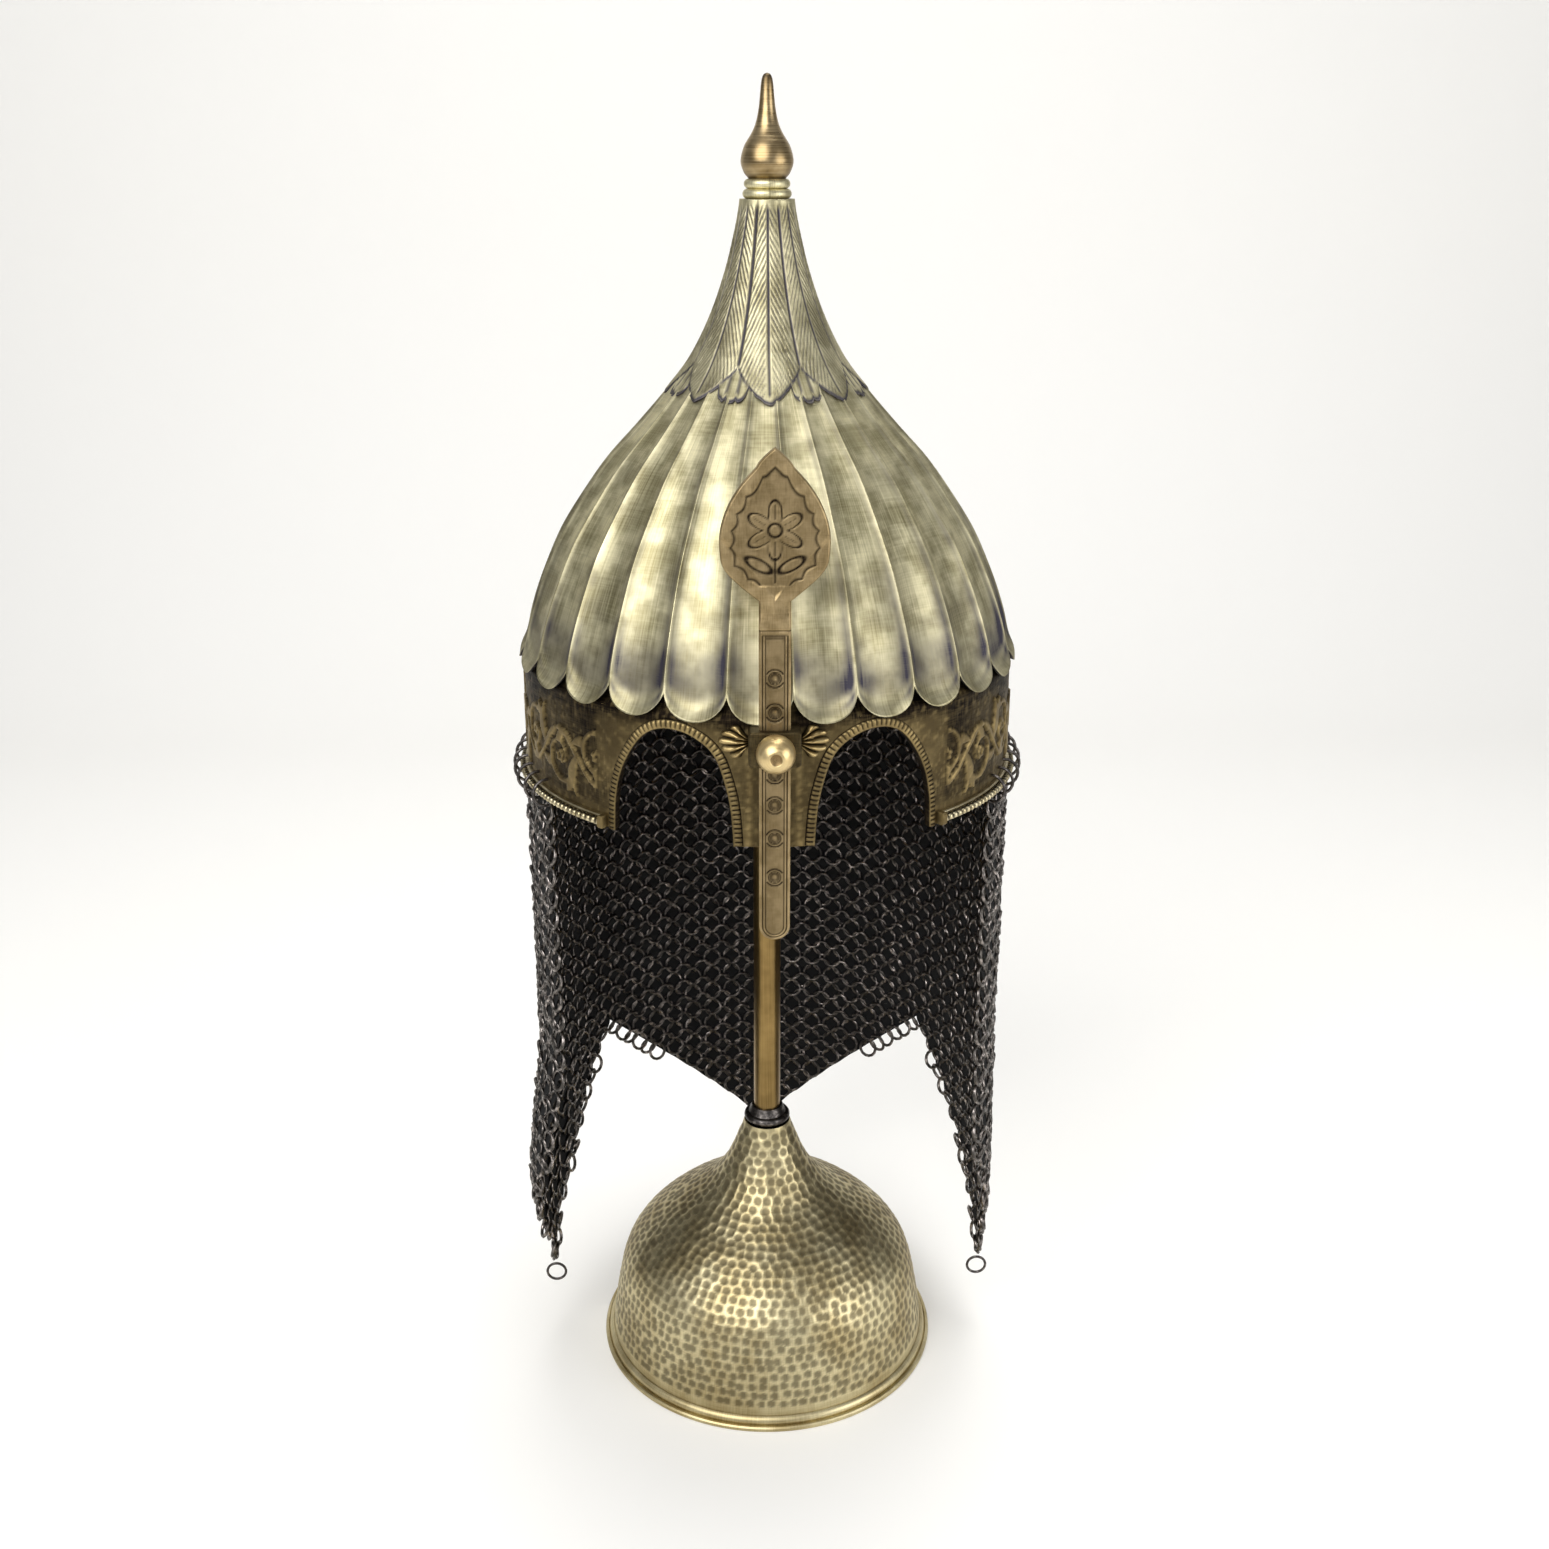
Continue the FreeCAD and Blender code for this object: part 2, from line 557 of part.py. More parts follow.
def wing(side):
    """A palmette of ribs that fan out from the bracket over the band."""
    start = V(side * (BOX_W / 2 - RIB_ROOT_R), 0, (BOX_LOW + BOX_HIGH) / 2)
    ribs = []
    for i in range(WING_RIBS):
        share = i / (WING_RIBS - 1)
        fan = math.radians(WING_FAN * (2 * share - 1))
        reach = WING_R * (1.0 - 0.24 * abs(share - 0.5))
        course = V(side * reach * math.cos(fan), 0, reach * math.sin(fan))
        ribs.append(Part.makeCone(RIB_ROOT_R, RIB_R, course.Length, start, course))
        ribs.append(Part.makeSphere(RIB_R, start + course))
    fan_shape = ribs[0].fuse(ribs[1:])
    fan_middle = math.asin((BOX_W + WING_R) / 2 / BAND_R)
    fan_shape.translate(V(0, -BAND_R * math.cos(fan_middle) - WING_PLATE_T / 2, 0))
    plate = tube(BAND_R, BAND_R + WING_PLATE_T, BOX_LOW + WING_EDGE, BOX_HIGH - WING_EDGE)
    left = BOX_W / 2 - BOX_ROUND if side > 0 else -BOX_W / 2 + BOX_ROUND - WING_R
    slab = Part.makeBox(WING_R, BAND_R + PAST, BOX_H, V(left, -BAND_R - PAST, BOX_LOW))
    return fan_shape.fuse(plate.common(slab)).cut(cylinder(BAND_R, BOX_LOW - PAST, BOX_HIGH + PAST))


def rivet(side):
    z = CLAMP_Z - RIVET_DOWN
    inner = BAND_R - BAND_T
    shank = spoke(RIVET_TURN * side, RIVET_R, inner - RIVET_HEAD_T / 2, BAND_R + WING_PLATE_T, z)
    head = spoke(RIVET_TURN * side, RIVET_HEAD_R, inner - RIVET_HEAD_T, inner, z)
    head = head.cut(tube(inner, BAND_R, z - PAST, z + PAST))
    return shank.fuse(head).removeSplitter()


def bracket():
    box = Part.makeBox(BOX_W, BOX_FRONT - BELT_R, BOX_H, V(-BOX_W / 2, -BOX_FRONT, BOX_LOW))
    front = [e for e in box.Edges if abs(e.BoundBox.YMax + BOX_FRONT) < 0.01]
    box = box.makeFillet(BOX_ROUND, front)
    box = box.cut(cylinder(BAND_R, BOX_LOW - PAST, BOX_HIGH + PAST))
    slot = Part.makeBox(BAR_W + 2 * BAR_PLAY, BAR_T + 2 * BAR_PLAY, BOX_H + 2 * PAST,
                        V(-BAR_W / 2 - BAR_PLAY, -BAR_FRONT - BAR_PLAY, BOX_LOW - PAST))
    screw = spoke(0, CLAMP_D / 2 + CLAMP_FIT, BAR_FRONT, BOX_FRONT + PAST, CLAMP_Z)
    return box.fuse([wing(-1), wing(1)]).cut([slot, screw, rivet(-1), rivet(1)])


def clamp_knob():
    middle = V(0, -BOX_FRONT - KNOB_STAND - KNOB_R, CLAMP_Z)
    flat = middle.y - KNOB_R + KNOB_FLAT
    ball = Part.makeSphere(KNOB_R, middle)
    ball = ball.cut(Part.makeBox(2 * KNOB_R, KNOB_R, 2 * KNOB_R, V(-KNOB_R, flat - KNOB_R, CLAMP_Z - KNOB_R)))
    ball = ball.cut(Part.makeSphere(KNOB_PIT_R, V(0, flat - KNOB_PIT_R / 2, CLAMP_Z)))
    tip = BAR_FRONT + CLAMP_TIP
    return ball.cut(spoke(0, CLAMP_D / 2 + CLAMP_FIT, tip, tip + CLAMP_LONG + CLAMP_FIT, CLAMP_Z))


def make_nasal():
    save("nasal_bar", nasal_bar())
    save("nasal_bracket", bracket())
    save("bracket_rivets", Part.makeCompound([rivet(-1), rivet(1)]))
    tip = BAR_FRONT + CLAMP_TIP
    save("clamp_stud", spoke(0, CLAMP_D / 2, tip, tip + CLAMP_LONG, CLAMP_Z))
    save("clamp_knob", clamp_knob())


# Mail

def mail_shell(first, last, low, high):
    inner, outer = MAIL_R - MAIL_T / 2, MAIL_R + MAIL_T / 2
    shell = turned([(inner, low), (outer, low), (outer, high), (inner, high)], last - first)
    shell.rotate(V(0, 0, 0), UP, first - 90.0)
    return shell


def mail_section(z, front, rear, flare, side):
    """A bent strip from the front edge to the rear edge of a tail at one height."""
    middle = (front + rear) / 2
    rows = []
    for offset in (-MAIL_T / 2, MAIL_T / 2):
        rows.append([radial(front * side, MAIL_R + flare + offset, z),
                     radial(middle * side, MAIL_R + offset, z),
                     radial(rear * side, MAIL_R - flare / 2 + offset, z)])
    inner, outer = rows
    edges = [Part.Arc(*outer).toShape(), Part.makeLine(outer[2], inner[2]),
             Part.Arc(inner[2], inner[1], inner[0]).toShape(), Part.makeLine(inner[0], outer[0])]
    return Part.Wire(edges)


def mail_tail(side, flare):
    half_tip = math.degrees(TAIL_TIP_W / 2 / MAIL_R)
    top = FOLD_Z - FOLD_GAP
    rows = []
    for share, out in TAIL_ROWS:
        front = MAIL_TURN + share * (TAIL_TURN - half_tip - MAIL_TURN)
        rear = NOTCH_TURN + share * (TAIL_TURN + half_tip - NOTCH_TURN)
        rows.append(mail_section(top + share * (TAIL_TIP - top), front, rear, flare * out, side))
    return Part.makeLoft(rows, True, False)


def mail_nape():
    first = NOTCH_TURN + NOTCH_GAP
    shell = mail_shell(first, 360 - first, NAPE_TIP, FOLD_Z - FOLD_GAP)
    wide = MAIL_R * math.sin(math.radians(180 - NOTCH_TURN))
    low = FOLD_Z - NAPE_LONG * NAPE_SIDE
    corners = [V(-wide, 0, FOLD_Z), V(wide, 0, FOLD_Z), V(wide, 0, low), V(TAIL_TIP_W / 2, 0, NAPE_TIP),
               V(-TAIL_TIP_W / 2, 0, NAPE_TIP), V(-wide, 0, low)]
    outline = Part.Face(Part.makePolygon(corners + corners[:1])).extrude(V(0, MAIL_R + PAST, 0))
    return shell.common(outline)


def make_mail():
    save("mail_curtain", mail_shell(MAIL_TURN, 360 - MAIL_TURN, FOLD_Z + FOLD_GAP, MAIL_TOP))
    ring_z = TAIL_TIP - GAP - TAIL_RING_R - TAIL_RING_WIRE / 2
    for name, side, flare in (("left", -1, TAIL_FLARE), ("right", 1, 0.0)):
        save("mail_tail_" + name, mail_tail(side, flare))
        middle = radial(TAIL_TURN * side, MAIL_R, ring_z)
        ring = Part.makeTorus(TAIL_RING_R, TAIL_RING_WIRE / 2, middle, V(0, 1, 0))
        save("tail_ring_" + name, ring)
    save("mail_nape", mail_nape())


os.makedirs("parts", exist_ok=True)
make_stand()
make_crown()
make_skull()
make_helmet()
make_nasal()
make_mail()
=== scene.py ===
# Looks of the chichak helmet and its brass display stand.
# Builders work in millimetres and degrees from the helmet's front, positive towards +X;
# a mesh turns to metres when it is made.

import math

import bpy
import numpy as np
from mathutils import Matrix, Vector


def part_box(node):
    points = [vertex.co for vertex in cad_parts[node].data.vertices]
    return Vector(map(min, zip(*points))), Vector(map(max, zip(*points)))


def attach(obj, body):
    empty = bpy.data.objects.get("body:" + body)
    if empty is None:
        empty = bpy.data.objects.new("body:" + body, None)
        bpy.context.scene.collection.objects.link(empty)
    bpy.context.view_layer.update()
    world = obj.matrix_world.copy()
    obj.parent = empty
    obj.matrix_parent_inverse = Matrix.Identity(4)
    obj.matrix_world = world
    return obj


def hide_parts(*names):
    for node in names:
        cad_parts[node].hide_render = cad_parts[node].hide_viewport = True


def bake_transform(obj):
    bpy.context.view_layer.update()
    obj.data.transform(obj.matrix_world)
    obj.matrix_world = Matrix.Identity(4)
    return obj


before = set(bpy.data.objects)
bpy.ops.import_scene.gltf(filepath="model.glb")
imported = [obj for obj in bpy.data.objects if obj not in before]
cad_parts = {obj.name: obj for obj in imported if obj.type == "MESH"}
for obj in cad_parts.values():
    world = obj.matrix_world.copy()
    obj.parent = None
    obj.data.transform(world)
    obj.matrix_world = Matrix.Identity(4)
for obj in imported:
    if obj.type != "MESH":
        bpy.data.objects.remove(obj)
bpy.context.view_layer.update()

MM = 0.001
RANDOM = np.random.default_rng(11)


def extent(node):
    """Lowest and highest corner of a carried node, in millimetres."""
    low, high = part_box(node)
    return np.array(low) / MM, np.array(high) / MM


# Sizes read from the imported parts
LIP_Z = extent("skull")[0][2]
CROWN_Z = extent("skull_cone")[1][2]
BAND_LOW = extent("brow_band")[0][2]
BAND_R = extent("brow_band")[1][0]
FOOT_R = extent("base_dome")[1][0]
DOME_TOP = extent("base_dome")[1][2]
RIM_R = extent("base_rim")[1][0]
POLE_R = extent("stand_pole")[1][0]
POLE_TOP = extent("stand_pole")[1][2]
COLLAR_TOP = extent("stand_collar")[1][2]
COLLAR_R = extent("stand_collar")[1][0]
FERRULE_TOP = extent("finial_ferrule")[1][2]
FERRULE_R = extent("finial_ferrule")[1][0]
FINIAL_TIP = extent("finial")[1][2]
FINIAL_R = extent("finial")[1][0]
BAR_LOW, LEAF_TIP = extent("nasal_bar")[0][2], extent("nasal_bar")[1][2]
BAR_FRONT, BAR_BACK = -extent("nasal_bar")[0][1], -extent("nasal_bar")[1][1]
LEAF_HALF = extent("nasal_bar")[1][0]
KNOB_LOW, KNOB_HIGH = extent("clamp_knob")
BEAD_LOW, BEAD_HIGH = extent("rim_beading")
HANGER_LOW, HANGER_HIGH = extent("hanger_rings")

# Skull
FLUTES = 26
FLUTE_TURN = -3.0        # the front flute stands off the nasal
NOTCH_RISE = 9.6         # notches between the flutes' round ends
LIP_FLARE = 4.0          # how far the flute ends curl out
LIP_REACH = 9.0          # height over which they curl
SHEET = 1.7
FLUTE_FADE = 126.0       # height above the lip where the flutes have run out
CREST_HIGH = 0.45        # narrow raised line between two flutes
CREST_WIDE = 0.8
# Ridge line of the skull: height above the lip, radius.
SKULL_LINE = [(-2.0, 106.0), (0.0, 105.7), (7.6, 104.7), (16.5, 102.9), (27.0, 99.6), (40.0, 94.4),
              (54.5, 87.5), (69.5, 77.8), (84.5, 66.7), (98.0, 54.2), (110.1, 43.4), (124.1, 32.0),
              (132.1, 27.3), (140.1, 23.4), (148.1, 20.1), (155.6, 17.5), (163.1, 15.2),
              (171.1, 13.2), (179.1, 11.4), (187.1, 10.1), (188.0, 10.0)]
# Depth of the flutes: height above the lip, depth.
FLUTE_LINE = [(0.0, 1.9), (12.0, 2.7), (30.0, 3.0), (70.0, 2.7), (88.0, 2.0), (100.0, 1.5),
              (112.0, 0.9), (FLUTE_FADE, 0.0), (200.0, 0.0)]

# Feathered cone
LEAVES = 8
LEAF_FOOT = 467.0        # lowest tips of the leaves
LEAF_RISE = 12.5         # from the tips up to the notches between leaves
LEAF_PROUD = 0.7         # leaves above the flutes
PETAL_HALF = 9.0         # degrees, half width of a small leaf between two large ones
BARB_PITCH = 3.1
BARB_SLANT = 1.9         # fall of a barb for each millimetre away from the midrib

# Eye openings
EYE_TURN = 22.6
EYE_W = 51.5
EYE_TOP = 46.9
EYE_LINE = [(-0.505, -0.2), (-0.497, 0.12), (-0.464, 0.45), (-0.365, 0.79), (-0.194, 0.953), (0.0, 1.0),
            (0.167, 0.948), (0.299, 0.8), (0.419, 0.56), (0.478, 0.3), (0.493, 0.05), (0.495, -0.2)]
BAND_T = 2.4
BEADING_TURN = 38.8
BEAD_PITCH = 2.9
BEAD_R = 1.5

# Mail
MAIL_R = 106.0
MAIL_TURN = 62.0
COLUMN_PITCH = 5.9       # degrees between rings of one row
ROW_PITCH = 4.95
RING_R = 4.4             # middle radius of a mail ring
WIRE_R = 0.84
RING_LEAN = 13.0         # degrees that rings lean, one row up and the next down
FIRST_ROW_Z = 299.1
FOLD_Z = 136.0
TAIL_TURN = 90.0
TAIL_TIP = 37.0
NOTCH_TURN = 131.0
NAPE_TIP = 55.0
TAIL_FLARE = 9.0

RIGHT_FLARE = 1.5
HANGER_R = 5.9
HANGER_WIRE_R = 0.7
END_WIRE_R = 0.65
# The cloth behind the rings is a sheet of painted shade.
SHADE_SHEET_WAVE = 0.7        # the cloth follows the rings' lean, out and in

# Band's scrolls
SCROLL_LONG = 2 * math.pi * BAND_R / 14
SCROLL_STEP = 0.3
SCROLL_HIGH = 1.05
TICK_PITCH = 1.9

# Nasal and bracket
BAR_HALF = 6.0
LEAF_FOOT_Z = 405.5
# Leaf outline: share of the half width, share of the height.
LEAF_LINE = [(0.315, 0.0), (0.635, 0.095), (0.92, 0.209), (1.0, 0.35), (0.92, 0.555),
             (0.59, 0.77), (0.335, 0.873), (0.0, 1.0)]
DIMPLES = [29.4, 42.8, 55.0, 67.7, 80.0, 93.7, 110.1]     # below the leaf's foot
WING_LONG = 13.0
MOTIF_SIZE = 1.3         # flower on the leaf

# Hammered dome: share of the radius, share of the height.
FOOT_Z = 7.0
DOME_CURVE = [(1.0, 0.0), (0.975, 0.12), (0.91, 0.31), (0.812, 0.42), (0.624, 0.53), (0.426, 0.616),
              (0.278, 0.687), (0.179, 0.758), (0.111, 0.83), (0.05, 0.92), (0.0, 1.0)]
DOME_NECK_R = 11.0
DIMPLE_PITCH = 5.1
DIMPLE_DEEP = 0.38
POLE_WALL = 1.3
PLAIN_BAND = 9.0         # smooth strip round the dome's foot

PAD_T = 2.5              # felt on the head block


# Small helpers

def curve_through(xs, ys, x):
    """A smooth curve through the points, read at x."""
    xs = np.asarray(xs, float)
    ys = np.asarray(ys, float)
    slope = np.gradient(ys, xs)
    i = np.clip(np.searchsorted(xs, x) - 1, 0, len(xs) - 2)
    step = xs[i + 1] - xs[i]
    t = np.clip((x - xs[i]) / step, 0.0, 1.0)
    rising = t ** 2 * (3 - 2 * t)
    return (ys[i] * (1 - rising) + ys[i + 1] * rising
            + step * t * (1 - t) * ((1 - t) * slope[i] - t * slope[i + 1]))


def smooth_line(points, each=8):
    """A smooth line through (radius, height) points."""
    points = np.asarray(points, float)
    at = np.arange(len(points))
    fine = np.linspace(0, len(points) - 1, (len(points) - 1) * each + 1)
    return np.stack([curve_through(at, points[:, 0], fine), curve_through(at, points[:, 1], fine)], -1)


def ease(low, high, x):
    """0 below low, 1 above high, smooth between."""
    t = np.clip((x - low) / (high - low), 0.0, 1.0)
    return t * t * (3 - 2 * t)


def hump(x, width):
    """1 at nought, falling away over the width."""
    return np.exp(-(x / width) ** 2)


def run_along(line):
    """Length run from the line's start to each of its points."""
    return np.concatenate([[0.0], np.cumsum(np.hypot(*np.diff(line, axis=0).T))])


def arc(across, up, radius, turns):
    """Points of a circle round (across, up), at angles in degrees."""
    return [(across + radius * math.cos(math.radians(turn)), up + radius * math.sin(math.radians(turn)))
            for turn in turns]


def soft_noise(a, b, pitch, seed):
    """Smooth random values over the plane (a, b), with features of about one pitch."""
    a, b = np.broadcast_arrays(a, b)
    table = np.random.default_rng(seed).random((64, 64))
    i, j = np.floor(a / pitch), np.floor(b / pitch)
    s, t = a / pitch - i, b / pitch - j
    s, t = s * s * (3 - 2 * s), t * t * (3 - 2 * t)
    i, j = i.astype(int), j.astype(int)
    corner = [[table[(i + m) % 64, (j + n) % 64] for n in (0, 1)] for m in (0, 1)]
    return ((corner[0][0] * (1 - t) + corner[0][1] * t) * (1 - s)
            + (corner[1][0] * (1 - t) + corner[1][1] * t) * s)


def on_round(phi, radius, z):
    """Points at the angle phi from the front."""
    phi, radius, z = np.broadcast_arrays(phi, radius, z)
    return np.stack([radius * np.sin(phi), -radius * np.cos(phi), z], -1)


def distance(a, b, line):
    """How far each place (a, b) is from the nearest point of a finely divided line."""
    flat = np.stack([np.ravel(a), np.ravel(b)], -1)
    nearest = np.full(len(flat), 1e9)
    for start in range(0, len(line), 64):
        part = np.asarray(line[start:start + 64], float)
        apart = ((flat[:, None, :] - part[None, :, :]) ** 2).sum(-1)
        nearest = np.minimum(nearest, apart.min(1))
    return np.sqrt(nearest).reshape(np.shape(a))


def piece(name, points, faces, material, body, marks=None, replaces=(), crease=None):
    """A smooth mesh from points in millimetres, riding on a body. marks are values at its points."""
    points = np.asarray(points, float).reshape(-1, 3)
    mesh = bpy.data.meshes.new(name)
    mesh.from_pydata((points * MM).tolist(), [], np.asarray(faces).tolist())
    mesh.polygons.foreach_set("use_smooth", np.ones(len(mesh.polygons), bool))
    if crease is not None:
        mesh.set_sharp_from_angle(angle=math.radians(crease))
    for mark, values in (marks or {}).items():
        values = np.asarray(values, np.float32)
        if values.size == 3 * len(points):
            mesh.attributes.new(mark, "FLOAT_VECTOR", "POINT").data.foreach_set("vector", values.ravel())
        else:
            mesh.attributes.new(mark, "FLOAT", "POINT").data.foreach_set("value", values.ravel())
    mesh.materials.append(material)
    made = bpy.data.objects.new(name, mesh)
    bpy.context.scene.collection.objects.link(made)
    if body is not None:
        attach(made, body)
    if replaces:
        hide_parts(*replaces)
    return made


def grid_faces(rows, columns, closed=True):
    """Quads between neighbouring rows and columns, joined round when closed."""
    r, c = np.meshgrid(np.arange(rows - 1), np.arange(columns if closed else columns - 1), indexing="ij")
    after = (c + 1) % columns
    quads = np.stack([r * columns + c, r * columns + after, (r + 1) * columns + after, (r + 1) * columns + c], -1)
    return quads.reshape(-1, 4)


def lathe(name, line, material, body, replaces=(), segments=128, place=None, crease=35.0, patina=None):
    """A turned piece from a (radius, height) line, with the patina of each of its points."""
    line = np.asarray(line, float)
    phi = np.linspace(0, 2 * math.pi, segments, endpoint=False)[None, :]
    radius = line[:, :1]
    z = line[:, 1:]
    points = on_round(phi, radius, z)
    run = run_along(line)
    marks = {"wrap": on_round(phi, line[:, 0].max(), run[:, None]), "tarnish_and_shade": np.zeros(points.shape[:2])}
    if patina is not None:
        marks["tarnish_and_shade"] = np.tile(np.asarray(patina, float)[:, None], segments)
    if place is not None:
        points = place(points)
    return piece(name, points, grid_faces(len(line), segments), material, body, marks, replaces, crease)


# Materials

def linear(hex_colour):
    """An sRGB hex colour as linear values."""
    parts = [int(hex_colour[i:i + 2], 16) / 255 for i in (1, 3, 5)]
    return [c / 12.92 if c <= 0.04045 else ((c + 0.055) / 1.055) ** 2.4 for c in parts] + [1.0]


def feed(tree, node, inputs):
    """Links a node's inputs to sockets, or sets them to values."""
    for key, value in inputs.items():
        if isinstance(value, bpy.types.NodeSocket):
            tree.links.new(value, node.inputs[key])
        else:
            node.inputs[key].default_value = value


def add(tree, kind, inputs=None, **settings):
    """Adds a shader node with its settings and links."""
    made = tree.nodes.new("ShaderNode" + kind)
    for key, value in settings.items():
        setattr(made, key, value)
    feed(tree, made, inputs or {})
    return made


def blank(name):
    """A new material: its node tree and its shader."""
    material = bpy.data.materials.new(name)
    material.use_nodes = True
    return material, material.node_tree, material.node_tree.nodes["Principled BSDF"]


def noise(tree, place, scale, detail, roughness=0.5):
    return add(tree, "TexNoise", {"Vector": place, "Scale": scale, "Detail": detail,
                                            "Roughness": roughness}).outputs["Fac"]


def spread(tree, value, low, high, to_low=0.0, to_high=1.0, **settings):
    """Maps a value from one range to another."""
    return add(tree, "MapRange", {"Value": value, "From Min": low, "From Max": high,
                                            "To Min": to_low, "To Max": to_high}, **settings).outputs[0]


def tones(tree, share, first, second):
    """Mixes two colours."""
    return add(tree, "Mix", {0: share, 6: first, 7: second}, data_type="RGBA").outputs[2]


def roughen(tree, shader, height, strength, reach_mm):
    bump = add(tree, "Bump", {"Strength": strength, "Distance": reach_mm * MM, "Height": height})
    feed(tree, shader, {"Normal": bump.outputs[0]})


def aged_brass(name, bright, body, tarnish_and_shade, roughness, stroke_mm, stroke_long_mm, cross, blotch_mm,
               grain_mm=0.0, grain_high=0.0):
    """Brass with a rubbed patina. Strokes of the brush run both ways along the surface, cloudy patches
    lie under them, and the dark colour goes where the mesh marks it, as patina and as painted shade. grain gives a
    cast skin."""
    material, tree, shader = blank(name)
    place = add(tree, "Attribute", attribute_name="wrap").outputs["Vector"]
    solid = add(tree, "TexCoord").outputs["Object"]
    # The marked darkening is patina, and on the skull's flutes and the band it is also painted shade.
    marked = add(tree, "Attribute", attribute_name="tarnish_and_shade").outputs["Fac"]
    lines = []
    for scale in ((stroke_mm, stroke_mm, stroke_long_mm), (stroke_long_mm, stroke_long_mm, stroke_mm)):
        strokes = add(tree, "Mapping", {"Vector": place, "Scale": tuple(1 / s for s in scale)})
        lines.append(noise(tree, strokes.outputs[0], 1.0, 2.0))
    lines = add(tree, "Mix", {0: cross, 2: lines[0], 3: lines[1]}).outputs[0]
    cloud = noise(tree, solid, 1 / (blotch_mm * MM), 3.0, 0.55)
    cloudy = spread(tree, cloud, 0.36, 0.66, interpolation_type="SMOOTHSTEP")
    brushed = spread(tree, lines, 0.34, 0.66)
    tone = add(tree, "Mix", {0: 0.55, 2: brushed, 3: cloudy}).outputs[0]
    metal = tones(tree, tone, linear(body), linear(bright))
    broken = add(tree, "Math", {0: lines, 1: 0.7, 2: 0.65}, operation="MULTIPLY_ADD").outputs[0]
    dark = add(tree, "Math", {0: marked, 1: broken}, operation="MULTIPLY", use_clamp=True).outputs[0]
    rough = spread(tree, lines, 0.3, 0.7, roughness - 0.06, roughness + 0.08)
    duller = add(tree, "Math", {0: dark, 1: 0.18, 2: rough}, operation="MULTIPLY_ADD").outputs[0]
    feed(tree, shader, {"Base Color": tones(tree, dark, metal, linear(tarnish_and_shade)), "Metallic": 1.0, "Roughness": duller})
    if grain_mm:
        roughen(tree, shader, noise(tree, solid, 1 / (grain_mm * MM), 2.0), 0.6, grain_high)
    else:
        roughen(tree, shader, lines, 0.6, 0.02)
    return material


def dark_metal(name, body, worn, roughness, speck_mm):
    """Blackened or darkened steel: an uneven oxide skin, paler in random clouds."""
    material, tree, shader = blank(name)
    solid = add(tree, "TexCoord").outputs["Object"]
    cloud = noise(tree, solid, 1 / (speck_mm * MM), 4.0)
    share = spread(tree, cloud, 0.45, 0.75, interpolation_type="SMOOTHSTEP")
    colour = tones(tree, share, linear(body), linear(worn))
    rough = spread(tree, cloud, 0.3, 0.7, roughness + 0.1, roughness - 0.05)
    feed(tree, shader, {"Base Color": colour, "Roughness": rough, "Metallic": 1.0})
    return material


# Sheet brass brushed by hand up and down and round: fine crossed scratches that catch the light,
# pale straw where rubbed, olive grey between, blue-violet for the patina and for painted shade on the flutes.
brushed_brass = aged_brass("brushed_brass", "#F2E9C0", "#8E855E", "#494650", 0.44, 0.5, 26.0, 0.3, 14.0)
# Cast brass with a brown-black ground that the polisher's wheel has left in the low places.
cast_brass = aged_brass("cast_brass", "#BFA874", "#7E6C48", "#1D1712", 0.42, 0.6, 6.0, 0.5, 9.0, 0.5, 0.12)
# Forged bar, filed and waxed: satin brown gold with a fine even grain.
forged_brass = aged_brass("forged_brass", "#B8A27A", "#84714E", "#1C1510", 0.44, 0.4, 5.0, 0.35, 8.0, 0.45, 0.05)
# Turned on a lathe and buffed: pale, with a satin gloss.
polished_brass = aged_brass("polished_brass", "#E6CF9C", "#CDB27C", "#5E4628", 0.38, 0.3, 20.0, 1.0, 10.0)
# Turned and heated: rings left by the tool, a rosy bronze tone over the brass.
turned_brass = aged_brass("turned_brass", "#C4AE86", "#86704A", "#2C221A", 0.32, 0.35, 30.0, 1.0, 12.0)
# Raised with a ball hammer: the shallow dishes hold the patina, the ridges between them are rubbed pale.
hammered_brass = aged_brass("hammered_brass", "#E8DCB2", "#A8966A", "#3A3120", 0.42, 0.45, 9.0, 0.5, 30.0)
# Drawn tube: lines along its length, aged to brown gold.
drawn_brass_tube = aged_brass("drawn_brass_tube", "#A88C58", "#76603A", "#2A2014", 0.34, 0.35, 40.0, 0.1, 20.0)
# Cast beads, rubbed bright by handling: silvery straw on top, brown in between.
bead_brass = aged_brass("rubbed_cast_brass", "#E6DAB6", "#B2A27A", "#17110C", 0.32, 0.5, 4.0, 0.5, 6.0)
# The bracket and its palmettes: dark cast brass with polished crests.
bracket_brass = aged_brass("cast_brass_highlighted", "#CDB682", "#8C764C", "#14100C", 0.34, 0.5, 4.0, 0.5, 6.0)


def fibrous(name, dark, pale, roughness, sheen, thread_mm, high_mm):
    """Cloth, felt or wood: fibres of two tones with a soft surface."""
    material, tree, shader = blank(name)
    solid = add(tree, "TexCoord").outputs["Object"]
    stretched = add(tree, "Mapping", {"Vector": solid, "Scale": tuple(1 / (s * MM) for s in thread_mm)})
    fibre = noise(tree, stretched.outputs[0], 1.0, 3.0)
    share = spread(tree, fibre, 0.35, 0.68)
    colour = tones(tree, share, linear(dark), linear(pale))
    feed(tree, shader, {"Base Color": colour, "Roughness": roughness, "Sheen Weight": sheen})
    roughen(tree, shader, fibre, 0.5, high_mm)
    return material


